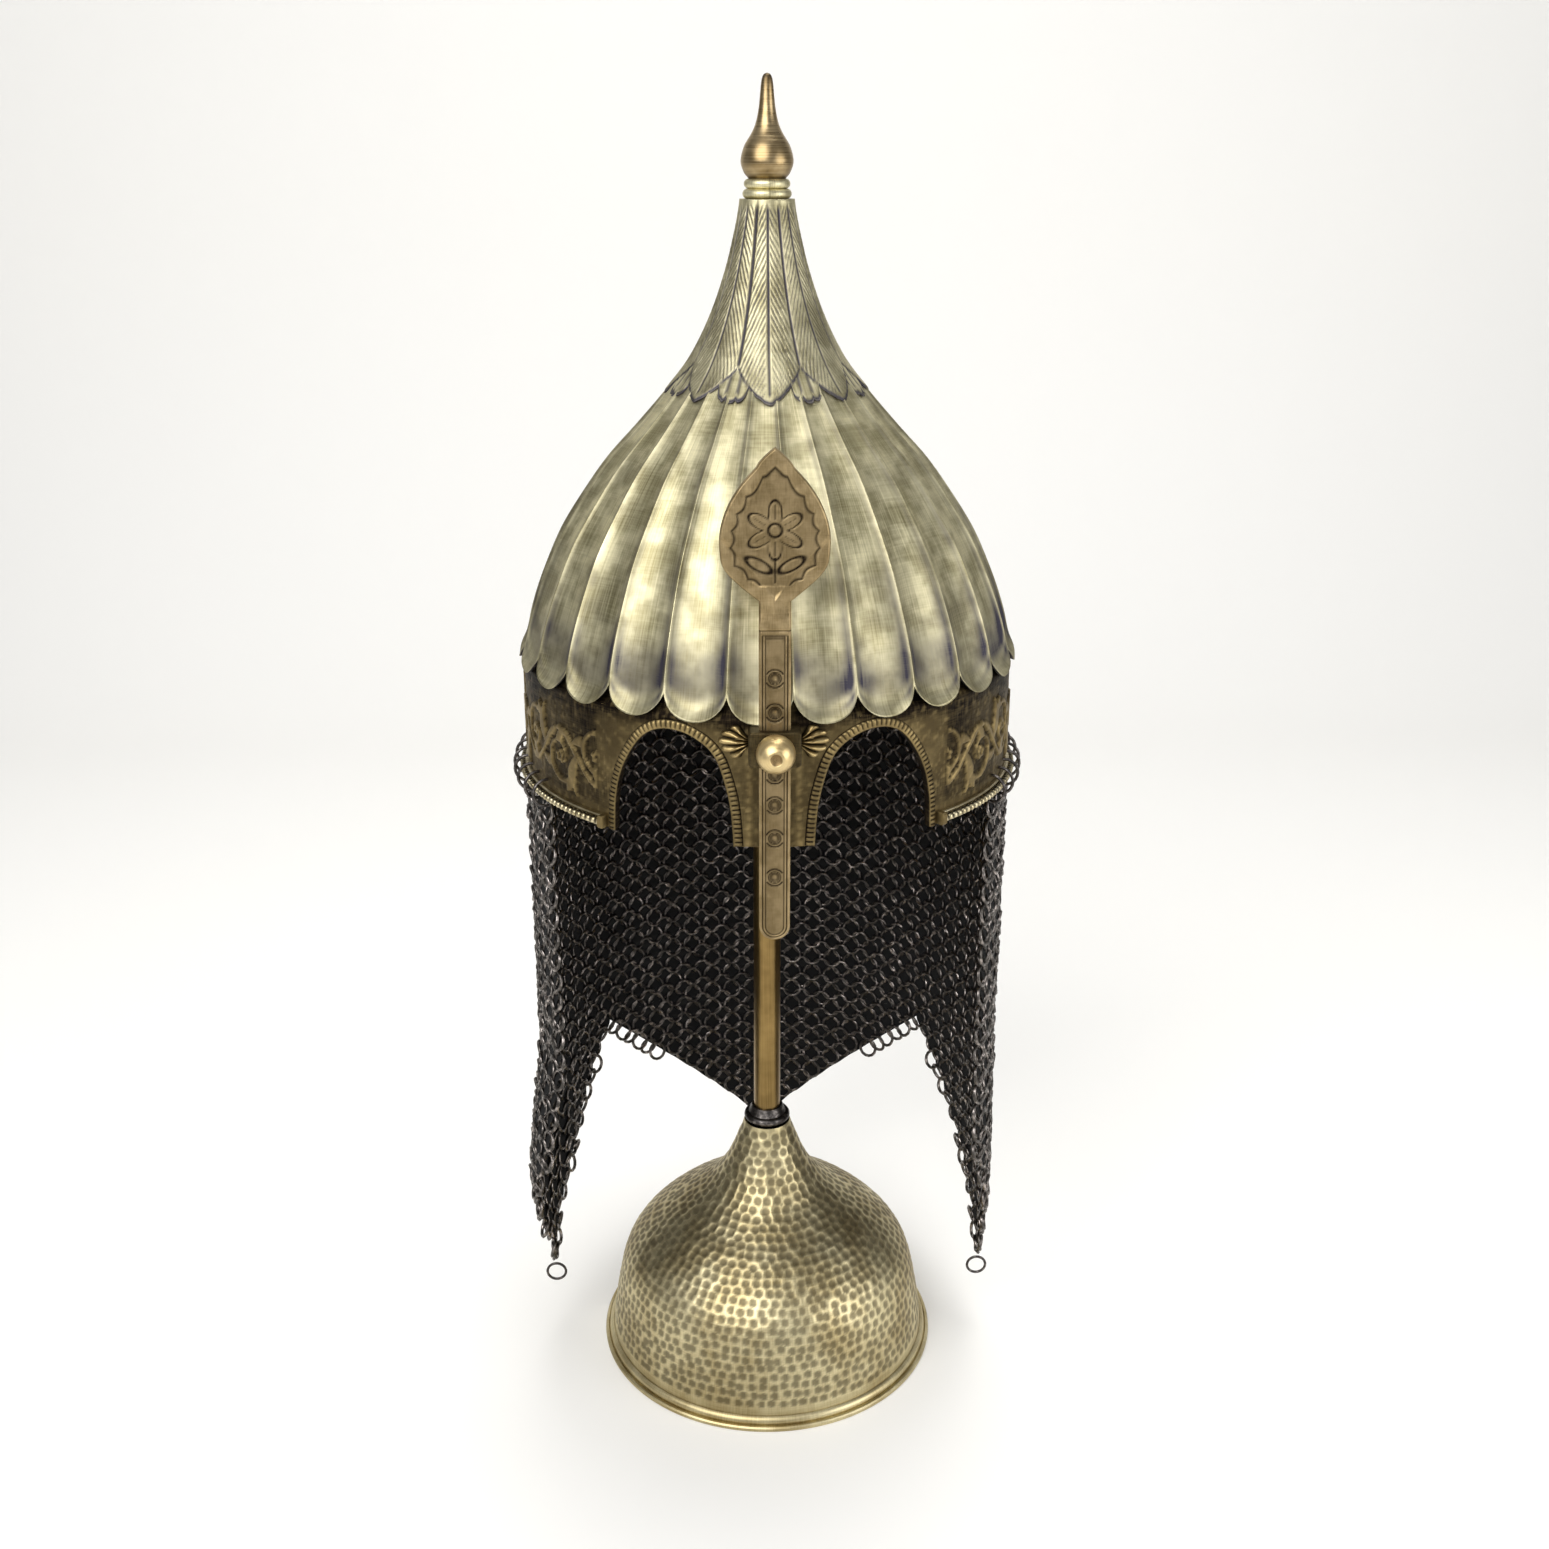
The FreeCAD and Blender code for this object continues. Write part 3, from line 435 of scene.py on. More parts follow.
# Painted shade: a near-black matt sheet behind the mail, standing in for the dark inside of the helmet seen between
# the rings; it hardly answers the light.
painted_shade_cloth = fibrous("painted_shade_cloth", "#060606", "#0D0C0C", 0.95, 0.0, (0.8, 0.8, 0.8), 0.1)
# Wool felt on the head block: matted fibres, black.
wool_felt = fibrous("wool_felt", "#151313", "#2A2624", 0.95, 0.2, (0.7, 0.7, 0.7), 0.2)
# Turned and oiled beech: short fine flecks along the grain.
turned_beech = fibrous("turned_beech", "#A8763F", "#C99B64", 0.5, 0.0, (1.2, 1.2, 14.0), 0.05)
# Mild steel wire, oil blackened: near black, with paler grey patches at random that catch the light.
blackened_steel = dark_metal("blackened_steel", "#54504C", "#B8AEA8", 0.3, 3.0)
# Darkened steel fittings.
dark_steel = dark_metal("dark_steel", "#4A4644", "#8C8580", 0.36, 2.0)


# Skull

def skull_radius(height):
    line = np.array(SKULL_LINE)
    return curve_through(line[:, 0], line[:, 1], height)


def flute_depth(height):
    line = np.array(FLUTE_LINE)
    return curve_through(line[:, 0], line[:, 1], height)


def fluted_radius(u, height):
    depth = flute_depth(height)
    half = 13.0 * np.clip(skull_radius(height) / BAND_R, 0.2, 1.0)
    crest = hump((1 - np.abs(u)) * half, CREST_WIDE) * CREST_HIGH * ease(0.0, 1.0, depth)
    return skull_radius(height) - depth * (1 - u ** 2) + crest


def make_flutes():
    """The fluted dome from its curled round ends up under the feathers."""
    spread = np.sin(np.linspace(-1, 1, 17)[:-1] * math.pi / 2)
    u = np.tile(spread, FLUTES)[None, :]
    step = 2 * math.pi / FLUTES
    centres = math.radians(FLUTE_TURN) + np.repeat(np.arange(FLUTES), len(spread)) * step
    phi = (centres + u * step / 2)
    half = (BAND_R + LIP_FLARE / 2) * math.sin(step / 2)
    end_r = (half ** 2 + NOTCH_RISE ** 2) / (2 * NOTCH_RISE)
    rise = end_r - np.sqrt(end_r ** 2 - (u * half) ** 2)
    outside = np.concatenate([np.linspace(0, 12, 19), np.linspace(12, FLUTE_FADE, 92)[1:]])[:, None]
    edge = rise * (1 - outside / 34.0).clip(0, 1) ** 1.5
    height = outside + edge
    above = height - rise
    curl = LIP_FLARE * (1 - above / LIP_REACH).clip(0, 1) ** 2.2 * (1 - np.abs(u) ** 5)
    radius = fluted_radius(u, height) + curl
    crest = hump((1 - np.abs(u)) * half, CREST_WIDE * 1.3)
    # Painted shade: a dark strip beside each crest, stronger on one side, and a dark band in the hollow above each
    # curled end. Also a dark line just above the lip, darkest at the notches, and random patina in patches and
    # ripples; the crests are kept clear.
    beside = hump((1 - u) * half, 3.4) * (u > 0) + 0.6 * hump((1 + u) * half, 2.2) * (u <= 0)
    patches = soft_noise(np.degrees(phi) * 1.8, height, 12.0, 3)
    ripples = soft_noise(np.degrees(phi) * 0.9, height, 4.5, 9)
    # Painted shade in the hollow above each curled end, patchy.
    low = hump((above - 12.0).clip(0, None), 11.0) * ease(3.0, 9.0, above)
    dark = (0.55 * beside + 0.7 * low * (0.7 + 0.3 * u ** 2) * (0.55 + 0.8 * patches)
            + 0.5 * hump(above - 3.0, 1.2) * (0.3 + 0.7 * u ** 2) + 0.22 * ripples * ease(70.0, 30.0, above))
    dark = dark * (1 - 0.9 * crest) + 0.22 * patches ** 2
    # Under the edge the sheet turns in and a little way up inside.
    inner_up = np.array([10.0, 3.0, 0.4, 0.0])[:, None]
    inner_in = np.array([1.0, 1.0, 0.9, 0.3])[:, None] * SHEET
    inner_height = rise + inner_up
    inner_curl = LIP_FLARE * (1 - inner_up / LIP_REACH).clip(0, 1) ** 2.2 * (1 - np.abs(u) ** 5)
    inner_radius = fluted_radius(u, inner_height) + inner_curl - inner_in
    points = np.concatenate([on_round(phi, inner_radius, LIP_Z + inner_height),
                             on_round(phi, radius, LIP_Z + height)])
    # Painted shade: the sheet's turned-under inner face is painted dark all over.
    tarnish_and_shade = np.concatenate([np.full(inner_radius.shape, 0.9), dark])
    along = np.concatenate([inner_height, height])
    marks = {"tarnish_and_shade": tarnish_and_shade, "wrap": on_round(phi, BAND_R * 0.8, along)}
    rows, columns = tarnish_and_shade.shape
    piece("skull_flutes", points, grid_faces(rows, columns), brushed_brass, "helmet", marks, ["skull"])


def make_skull_inside():
    """The smooth inner face of the skull, closed at the crown."""
    height = np.concatenate([np.linspace(9.5, 150, 44), [CROWN_Z - LIP_Z - 4.0]])
    radius = skull_radius(height) - SHEET - flute_depth(height) - 0.4
    line = list(zip(radius, LIP_Z + height))[::-1]
    made = lathe("skull_inside", [(2.6, line[0][1])] + line, brushed_brass, "helmet", segments=104)


# Feathered cone

def leaf_edge(across):
    """Height of a large leaf's lower edge; across runs from -1 to 1 over the leaf."""
    return LEAF_FOOT + LEAF_RISE * np.abs(across) ** 1.25


def petal_edge(aside):
    """Height of a small leaf's three-lobed edge; aside is in degrees from its middle."""
    p = aside / PETAL_HALF
    lobes = (1 - np.abs(np.cos(1.5 * math.pi * p))) ** 2
    inside = LEAF_FOOT + 0.4 + 2.4 * p ** 2 + 1.3 * lobes
    return np.where(np.abs(p) < 1, inside, 1e6)


def make_feathers():
    """Eight long feathers chased into the cone, with small three-lobed leaves between their tips."""
    columns, rows = 480, 128
    phi = np.linspace(-math.pi, math.pi, columns, endpoint=False)[None, :]
    degrees = np.degrees(phi)
    leaf = 360.0 / LEAVES
    across = 2 * (degrees / leaf + 0.5 - np.floor(degrees / leaf + 0.5)) - 1
    between = (degrees / leaf - np.floor(degrees / leaf) - 0.5) * leaf
    wobble = 0.5 * (soft_noise(degrees * 0.7, 0.0, 1.0, 5) - 0.5)
    edge = np.minimum(leaf_edge(across), petal_edge(between)) + wobble
    share = np.linspace(0, 1, rows)[:, None]
    z = edge + share * (CROWN_Z - edge)
    height = z - LIP_Z
    base = skull_radius(height)
    slope = np.hypot(1.0, (skull_radius(height + 0.5) - skull_radius(height - 0.5)))
    aside = base * np.radians(np.abs(across) * leaf / 2)
    half = base * math.radians(leaf / 2)
    run = (z - LEAF_FOOT) * slope
    in_leaf = z > leaf_edge(across) + wobble
    shake = soft_noise(degrees * 0.9, run, 2.2, 8) - 0.5
    barb = (run + BARB_SLANT * aside) / BARB_PITCH + 0.22 * shake
    stroke = hump((barb - np.round(barb)) * BARB_PITCH, 0.55) * ease(0.05, 0.16, aside / half)
    stroke = stroke * ease(0.5, 1.4, half - aside)
    stroke = stroke * (0.55 + 0.45 * soft_noise(degrees * 0.5, run, 3.0, 21))
    midrib = hump(aside, 0.5) * ease(2.0, 4.0, z - leaf_edge(across))
    side = hump(half - aside, 0.6) * ease(0.0, 2.0, z - LEAF_FOOT - LEAF_RISE)
    border = hump(z - leaf_edge(across) - wobble - 0.5, 0.75) * (np.abs(across) < 1)
    rim = hump(z - edge - 0.5, 0.8)
    petal_line = np.abs(np.sin(np.radians(between) * 26)) ** 6 * ease(1.5, 3.0, z - edge) * ~in_leaf
    below_top = ease(1.0, 5.0, CROWN_Z - z)
    cut = np.maximum.reduce([stroke * in_leaf * 0.8, midrib, side, border, rim, 0.7 * petal_line])
    cut = cut * below_top
    pillow = 0.35 * (1 - (np.abs(across)) ** 4) * in_leaf
    radius = base + LEAF_PROUD + pillow - 0.55 * cut - 0.3 * ~in_leaf
    wall = np.stack([base[0] - 0.5, base[0] + LEAF_PROUD * 0.6])
    cap = np.stack([radius[-1] - 0.8, np.full(columns, 3.0)])
    points = np.concatenate([on_round(phi, wall, z[:1] - 0.3), on_round(phi, radius, z), on_round(phi, cap, z[-1:])])
    patina = np.clip(cut * 1.05 + 0.1, 0, 1)
    marks = {"tarnish_and_shade": np.concatenate([np.ones((2, columns)), patina, np.ones((2, columns)) * 0.4]),
             "wrap": on_round(phi, 40.0, np.concatenate([z[:1], z[:1], z, z[-1:], z[-1:]]))}
    piece("skull_feathers", points, grid_faces(rows + 4, columns), brushed_brass, "helmet", marks, ["skull_cone"])


def make_crown():
    """Two turned rings and the drop-shaped finial."""
    low = CROWN_Z
    half = (FERRULE_TOP - low) / 4
    rings = []
    for middle, reach in ((low + half, FERRULE_R), (low + 3 * half, FERRULE_R - 0.3 * half)):
        rings += arc(reach - half, middle, half, np.linspace(-80, 80, 15))
    lathe("finial_rings", [(3.0, low)] + rings + [(3.0, FERRULE_TOP)], brushed_brass, "helmet", ["finial_ferrule"])
    outline = [(0.0, 0.7), (0.06, 0.88), (0.17, 1.0), (0.31, 0.87), (0.42, 0.62), (0.5, 0.47), (0.58, 0.38),
               (0.68, 0.31), (0.78, 0.27), (0.88, 0.235), (0.95, 0.19), (0.985, 0.12), (1.0, 0.0)]
    tall = FINIAL_TIP - FERRULE_TOP
    line = smooth_line([(r * FINIAL_R, FERRULE_TOP + share * tall) for share, r in outline])
    line = [(2.5, FERRULE_TOP - 6.0), (2.5, FERRULE_TOP)] + list(map(tuple, line))
    patina = [0.75 * ease(FINIAL_TIP - 0.2 * tall, FINIAL_TIP, z) + 0.5 * hump(z - FERRULE_TOP, 2.0) for r, z in line]
    lathe("finial_drop", line, turned_brass, "helmet", ["finial"], patina=patina)


# Stand

def make_stand():
    neck = [(DOME_NECK_R + r * (FOOT_R - DOME_NECK_R), FOOT_Z + h * (DOME_TOP - FOOT_Z)) for r, h in DOME_CURVE]
    line = smooth_line([(FOOT_R, FOOT_Z - 4.0)] + neck, 30)
    run = run_along(line)
    rows, columns = 184, 384
    along = np.linspace(0, run[-1], rows)
    radius = np.interp(along, run, line[:, 0])
    z = np.interp(along, run, line[:, 1])
    out_r = np.gradient(z, along)
    out_z = -np.gradient(radius, along)
    phi = np.linspace(-math.pi, math.pi, columns, endpoint=False)
    blows = np.arange(PLAIN_BAND, run[-1], DIMPLE_PITCH * 0.86)
    best = np.full((rows, columns), 9.0)
    for k, at in enumerate(blows):
        ring_r = np.interp(at, run, line[:, 0])
        count = max(6, int(round(2 * math.pi * ring_r / DIMPLE_PITCH)))
        turn = (phi * count / (2 * math.pi) + 0.5 * (k % 2) + 0.15 * math.sin(k * 2.3))
        index = np.round(turn).astype(int)
        shift = RANDOM.normal(0, 0.09, (2, count))
        apart = (turn - index - shift[0][index % count]) * 2 * math.pi * ring_r / count
        off = along[:, None] - at - shift[1][index % count][None, :] * DIMPLE_PITCH
        best = np.minimum(best, np.hypot(apart[None, :], off))
    reach = DIMPLE_PITCH * 0.56
    plain = ease(PLAIN_BAND - 3.5, PLAIN_BAND - 1.5, along)[:, None]
    dish = (1 - np.clip(best / reach, 0, 1) ** 2) * plain
    deep = DIMPLE_DEEP * dish
    rr = radius[:, None] - deep * out_r[:, None]
    zz = z[:, None] - deep * out_z[:, None]
    points = on_round(phi[None, :], rr, zz)
    spots = ease(0.3, 0.75, dish)
    marks = {"tarnish_and_shade": np.clip(0.62 * spots + 0.1 * (1 - plain), 0, 1),
             "wrap": on_round(phi[None, :], 60.0, along[:, None])}
    piece("stand_dome", points, grid_faces(rows, columns), hammered_brass, "stand", marks, ["base_dome"])
    under = [(FOOT_R - 1.4, 3.0)] + [(r - 1.4, h - 1.4) for r, h in line[::10]]
    made = lathe("stand_dome_inside", under[::-1], hammered_brass, "stand", segments=96)
    rim = [(FOOT_R - 3.8, 0.0), (RIM_R - 0.9, 0.0), (RIM_R - 0.1, 0.5), (RIM_R, 1.2), (RIM_R - 0.1, 1.9),
           (RIM_R - 0.7, 2.5), (RIM_R - 1.5, 2.6), (RIM_R - 2.0, 2.2), (FOOT_R + 2.0, 2.2), (FOOT_R + 2.3, 2.6),
           (FOOT_R + 2.35, 3.6), (FOOT_R + 2.0, 4.7), (FOOT_R + 1.2, 5.6), (FOOT_R + 0.3, 6.0), (FOOT_R, 5.6),
           (FOOT_R - 3.8, 2.4), (FOOT_R - 3.8, 0.0)]
    lathe("stand_foot_ring", rim, hammered_brass, "stand", ["base_rim"], segments=192)
    bulge = arc(COLLAR_R - 2.0, DOME_TOP + 2.4, 2.0, np.linspace(-90, 90, 17))
    collar = [(6.0, DOME_TOP)] + bulge
    collar += [(8.6, DOME_TOP + 4.9), (8.0, COLLAR_TOP - 1.2), (7.4, COLLAR_TOP), (6.2, COLLAR_TOP)]
    lathe("pole_collar", collar, dark_steel, "stand", ["stand_collar"])
    inner = POLE_R - POLE_WALL
    tube = [(inner, DOME_TOP + 2.0)] + [(POLE_R, h) for h in np.linspace(DOME_TOP + 2.0, POLE_TOP, 24)]
    lathe("pole_tube", tube + [(inner, POLE_TOP)], drawn_brass_tube, "stand", ["stand_pole"], segments=64)


# Mail

def ring_mesh(centres, turns, leans, radius, wire, major=14, minor=5):
    """Wire rings: each at its centre, turned to an angle from the front, leaning forwards or back."""
    a = np.linspace(0, 2 * math.pi, major, endpoint=False)
    b = np.linspace(0, 2 * math.pi, minor, endpoint=False)
    a, b = np.meshgrid(a, b, indexing="ij")
    reach = radius + wire * np.cos(b)
    flat = np.stack([reach * np.cos(a), wire * np.sin(b), reach * np.sin(a)], -1).reshape(-1, 3)
    faces = grid_faces(major + 1, minor)
    faces = faces % (major * minor)
    points = []
    quads = []
    for i, (centre, turn, lean) in enumerate(zip(centres, turns, leans)):
        s, c = math.sin(lean), math.cos(lean)
        tilted = flat @ np.array([[1, 0, 0], [0, c, s], [0, -s, c]])
        s, c = math.sin(turn), math.cos(turn)
        points.append(tilted @ np.array([[c, s, 0], [-s, c, 0], [0, 0, 1]]) + centre)
        quads.append(faces + i * len(flat))
    return np.concatenate(points), np.concatenate(quads)


def mail_piece(name, places, replaces):
    """Linked rings at (row, angle, bulge): rings of neighbouring rows lean opposite ways."""
    centres, turns, leans = [], [], []
    for row, angle, bulge in places:
        turn = math.radians(angle)
        z = FIRST_ROW_Z - row * ROW_PITCH + RANDOM.normal(0, 0.12)
        centres.append(on_round(turn, MAIL_R + bulge + RANDOM.normal(0, 0.15), z))
        turns.append(turn + RANDOM.normal(0, 0.05))
        leans.append(math.radians(RING_LEAN) * (1 if row % 2 else -1) + RANDOM.normal(0, 0.05))
    points, faces = ring_mesh(centres, turns, leans, RING_R, WIRE_R)
    return piece(name, points, faces, blackened_steel, None, replaces=replaces)


def row_angles(row):
    """Angles of the rings in a row, from one front edge round the back to the other."""
    first = MAIL_TURN + (COLUMN_PITCH / 2 if row % 2 else 0.0)
    return np.arange(first, 360.0 - MAIL_TURN + 0.1, COLUMN_PITCH)


def tail_bulge(angle, z, flare):
    """How far a tail stands off the round: its front edge out, its rear edge in."""
    share = np.clip((FOLD_Z + 40.0 - z) / (FOLD_Z + 40.0 - TAIL_TIP), 0, 1)
    lift = math.sin(math.pi * min(1.0, share * 1.15)) if share < 0.87 else 0.0
    front = MAIL_TURN + share * (TAIL_TURN - MAIL_TURN)
    middle = TAIL_TURN + 6.0
    fading = 1 - ease(TAIL_TURN + 12.0, NOTCH_TURN - 2.0, angle)
    return flare * lift * fading * np.clip((middle - angle) / (middle - front + 1e-6), -0.5, 1.0)


def curtain_bulge(angle, z):
    left = angle > 180.0
    return tail_bulge(360.0 - angle if left else angle, z, TAIL_FLARE if left else RIGHT_FLARE)


def bend_at_fold(made):
    """Bakes a hanging piece's placement into its points; the piece is not bent and rides on no body."""
    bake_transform(made)


def make_mail():
    """The rings in two halves of the curtain, two tails and the nape's point, and the rings that carry them."""
    fold_row = int(math.ceil((FIRST_ROW_Z - FOLD_Z) / ROW_PITCH))
    halves = {"left": [], "right": []}
    tails = {"left": [], "right": []}
    nape = []
    last_row = int((FIRST_ROW_Z - TAIL_TIP - RING_R) / ROW_PITCH)
    for row in range(last_row + 1):
        z = FIRST_ROW_Z - row * ROW_PITCH
        drop = (FOLD_Z - z) / (FOLD_Z - TAIL_TIP)
        nape_drop = (FOLD_Z - z) / (FOLD_Z - NAPE_TIP)
        for angle in row_angles(row):
            left = angle > 180.0
            own = 360.0 - angle if left else angle
            bulge = curtain_bulge(angle, z)
            if row < fold_row:
                halves["left" if left else "right"].append((row, angle, bulge))
                continue
            front = MAIL_TURN + drop * (TAIL_TURN - MAIL_TURN) - 1.6
            rear = NOTCH_TURN + drop * (TAIL_TURN - NOTCH_TURN) + 1.6
            if front <= own <= rear:
                tails["left" if left else "right"].append((row, angle, bulge))
            elif abs(180.0 - angle) <= (180.0 - NOTCH_TURN) * (1 - nape_drop) + 1.6:
                nape.append((row, angle, 0.0))
    for side in ("left", "right"):
        curtain = mail_piece("mail_curtain_" + side + "_half", halves[side], ["mail_curtain"])
        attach(curtain, "helmet")
        tail = mail_piece("mail_tail_" + side + "_rings", tails[side], ["mail_tail_" + side])
        bend_at_fold(tail)
    bend_at_fold(mail_piece("mail_nape_rings", nape, ["mail_nape"]))
    hang_z = (HANGER_LOW[2] + HANGER_HIGH[2]) / 2
    angles = np.radians(row_angles(0))
    centres = [on_round(a, BAND_R + 1.0, hang_z) for a in angles]
    turns = [a + math.pi / 2 + RANDOM.normal(0, 0.12) for a in angles]
    points, faces = ring_mesh(centres, turns, np.zeros(len(angles)), HANGER_R, HANGER_WIRE_R, 24, 8)
    piece("hanger_ring_row", points, faces, dark_steel, "helmet", replaces=["hanger_rings"])
    for side in ("left", "right"):
        low, high = extent("tail_ring_" + side)
        reach = (high[2] - low[2]) / 2 - END_WIRE_R
        points, faces = ring_mesh([(low + high) / 2], [0.0], [0.0], reach, END_WIRE_R, 32, 10)
        piece("end_ring_" + side, points, faces, dark_steel, "tail_" + side, replaces=["tail_ring_" + side])


def shade_sheet_piece(name, bottom, first, last, rows, columns, bulge, replaces):
    """A near-black sheet of painted shade between the rings, in the middle of the mail."""
    share = np.linspace(0, 1, rows)[:, None]
    angle = first(share) + (last(share) - first(share)) * np.linspace(0, 1, columns)[None, :]
    top, low = bottom
    z = top + (low - top) * share
    wave = SHADE_SHEET_WAVE * np.sin(math.pi * (FIRST_ROW_Z - z) / ROW_PITCH)
    points = on_round(np.radians(angle), MAIL_R + bulge(angle, z) + wave, z)
    made = piece(name, points, grid_faces(rows, columns, False), painted_shade_cloth, None, replaces=replaces)
    return made


def make_shade_sheet():
    """Sheets of painted shade that show black between the rings, in one curtain, two tails and the nape's point."""
    bulge = np.vectorize(curtain_bulge)
    inset = math.degrees(2.0 / MAIL_R)
    curtain = shade_sheet_piece("shade_sheet_curtain", (BAND_LOW - 0.2, FOLD_Z), lambda s: MAIL_TURN + 0 * s,
                           lambda s: 360 - MAIL_TURN + 0 * s, 138, 110, bulge, ["mail_curtain"])
    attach(curtain, "helmet")
    low = TAIL_TIP + RING_R * 2
    for side, mirror in (("left", True), ("right", False)):
        reach = (FOLD_Z - low) / (FOLD_Z - TAIL_TIP)

        def turn(own):
            return 360.0 - own if mirror else own

        def front(s):
            return turn(MAIL_TURN + s * reach * (TAIL_TURN - MAIL_TURN) + inset * s)

        def rear(s):
            return turn(NOTCH_TURN + s * reach * (TAIL_TURN - NOTCH_TURN) - inset * s)

        tail = shade_sheet_piece("shade_sheet_tail_" + side, (FOLD_Z, low), front, rear, 80, 40, bulge,
                            ["mail_tail_" + side])
        bend_at_fold(tail)
    low = NAPE_TIP + RING_R
    reach = (FOLD_Z - low) / (FOLD_Z - NAPE_TIP)
    half = 180.0 - NOTCH_TURN
    nape = shade_sheet_piece("shade_sheet_nape", (FOLD_Z, low), lambda s: 180 - half * (1 - s * reach),
                        lambda s: 180 + half * (1 - s * reach), 66, 50,
                        lambda angle, z: 0.0, ["mail_nape"])
    bend_at_fold(nape)


# Brow band

def scroll_tile():
    """Heights, 0 to 1, of one repeat of a leafy scroll, over its length and the band's height."""
    across = np.arange(0, SCROLL_LONG, SCROLL_STEP)
    up = np.arange(0, 52.0, SCROLL_STEP)
    a, b = np.meshgrid(across, up)
    middle, swing = 26.0, 9.5
    raised = np.zeros(a.shape)

    def stroke(line, widths):
        nonlocal raised
        for shift in (-SCROLL_LONG, 0.0, SCROLL_LONG):
            for (x, y), w in zip(line, widths):
                if -3 < x + shift < SCROLL_LONG + 3:
                    near = np.hypot(a - x - shift, b - y)
                    raised = np.maximum(raised, ease(w, w - 0.55, near))

    t = np.linspace(0, 1, 160)
    stem = np.stack([t * SCROLL_LONG, middle + swing * np.sin(2 * math.pi * t)], -1)
    stroke(stem, 1.5 + 0.25 * np.sin(6 * math.pi * t))
    for half in (0, 1):
        sign = 1 if half == 0 else -1
        centre = np.array([SCROLL_LONG * (0.25 + 0.5 * half), middle - sign * 2.5])
        turn = np.linspace(0, 2.35 * math.pi, 150)
        reach = 10.6 * (1 - turn / (2.75 * math.pi)) + 1.2
        curl = centre + np.stack([-np.cos(turn) * reach * 0.95, -sign * np.sin(turn) * reach * 1.05], -1)
        stroke(curl, np.linspace(1.5, 0.85, len(curl)))
        petals = np.linspace(0, 2 * math.pi, 6)[:-1] + 0.4
        flower = centre + 1.9 * np.stack([np.cos(petals), np.sin(petals)], -1)
        stroke(flower, [1.5] * len(flower))
        for place, lean, size in ((0.12, 0.6, 5.5), (0.36, 0.9, 6.0), (0.62, 0.7, 5.0)):
            at = curl[int(place * len(curl))]
            out = (at - centre) / np.linalg.norm(at - centre)
            side = np.array([-out[1], out[0]]) * sign
            s = np.linspace(0, 1, 26)[:, None]
            leaf = at + out * size * s * lean + side * size * s ** 2 * 0.8
            stroke(leaf, 0.6 + 1.9 * np.sin(math.pi * np.linspace(0.08, 1, 26)) ** 0.8)
        s = np.linspace(0, 1, 30)[:, None]
        root = np.array([SCROLL_LONG * (0.5 * half), middle])
        tip = np.array([SCROLL_LONG * (0.5 * half + 0.02), middle - sign * 17.0])
        bud = root + (tip - root) * s + np.array([3.0, 0.0]) * np.sin(math.pi * s)
        stroke(bud, 0.8 + 2.2 * np.sin(math.pi * np.linspace(0.15, 1, 30)) ** 2)
    return raised


def eye_line(grow):
    """An eye opening's outline from its inner foot over the arch: across and up, grown outwards."""
    line = smooth_line([(x * EYE_W, z * EYE_TOP) for x, z in EYE_LINE], 40)
    course = np.gradient(line, axis=0)
    course /= np.linalg.norm(course, axis=1)[:, None]
    return line + grow * np.stack([-course[:, 1], course[:, 0]], -1)


def in_eye(phi, up, grow):
    """True where a place on the band lies within an eye opening grown by grow."""
    line = eye_line(grow)
    inside = np.zeros(np.broadcast(phi, up).shape, bool)
    for side in (-1, 1):
        x = BAND_R * np.sin(side * phi - math.radians(EYE_TURN))
        front = np.cos(side * phi - math.radians(EYE_TURN)) > 0
        odd = np.zeros(inside.shape, bool)
        ends = np.roll(line, -1, axis=0)
        for (x0, z0), (x1, z1) in zip(line, ends):
            if z0 == z1:
                continue
            crosses = ((z0 > up) != (z1 > up)) & (x < (x1 - x0) * (up - z0) / (z1 - z0) + x0)
            odd ^= crosses
        inside |= odd & front
    return inside


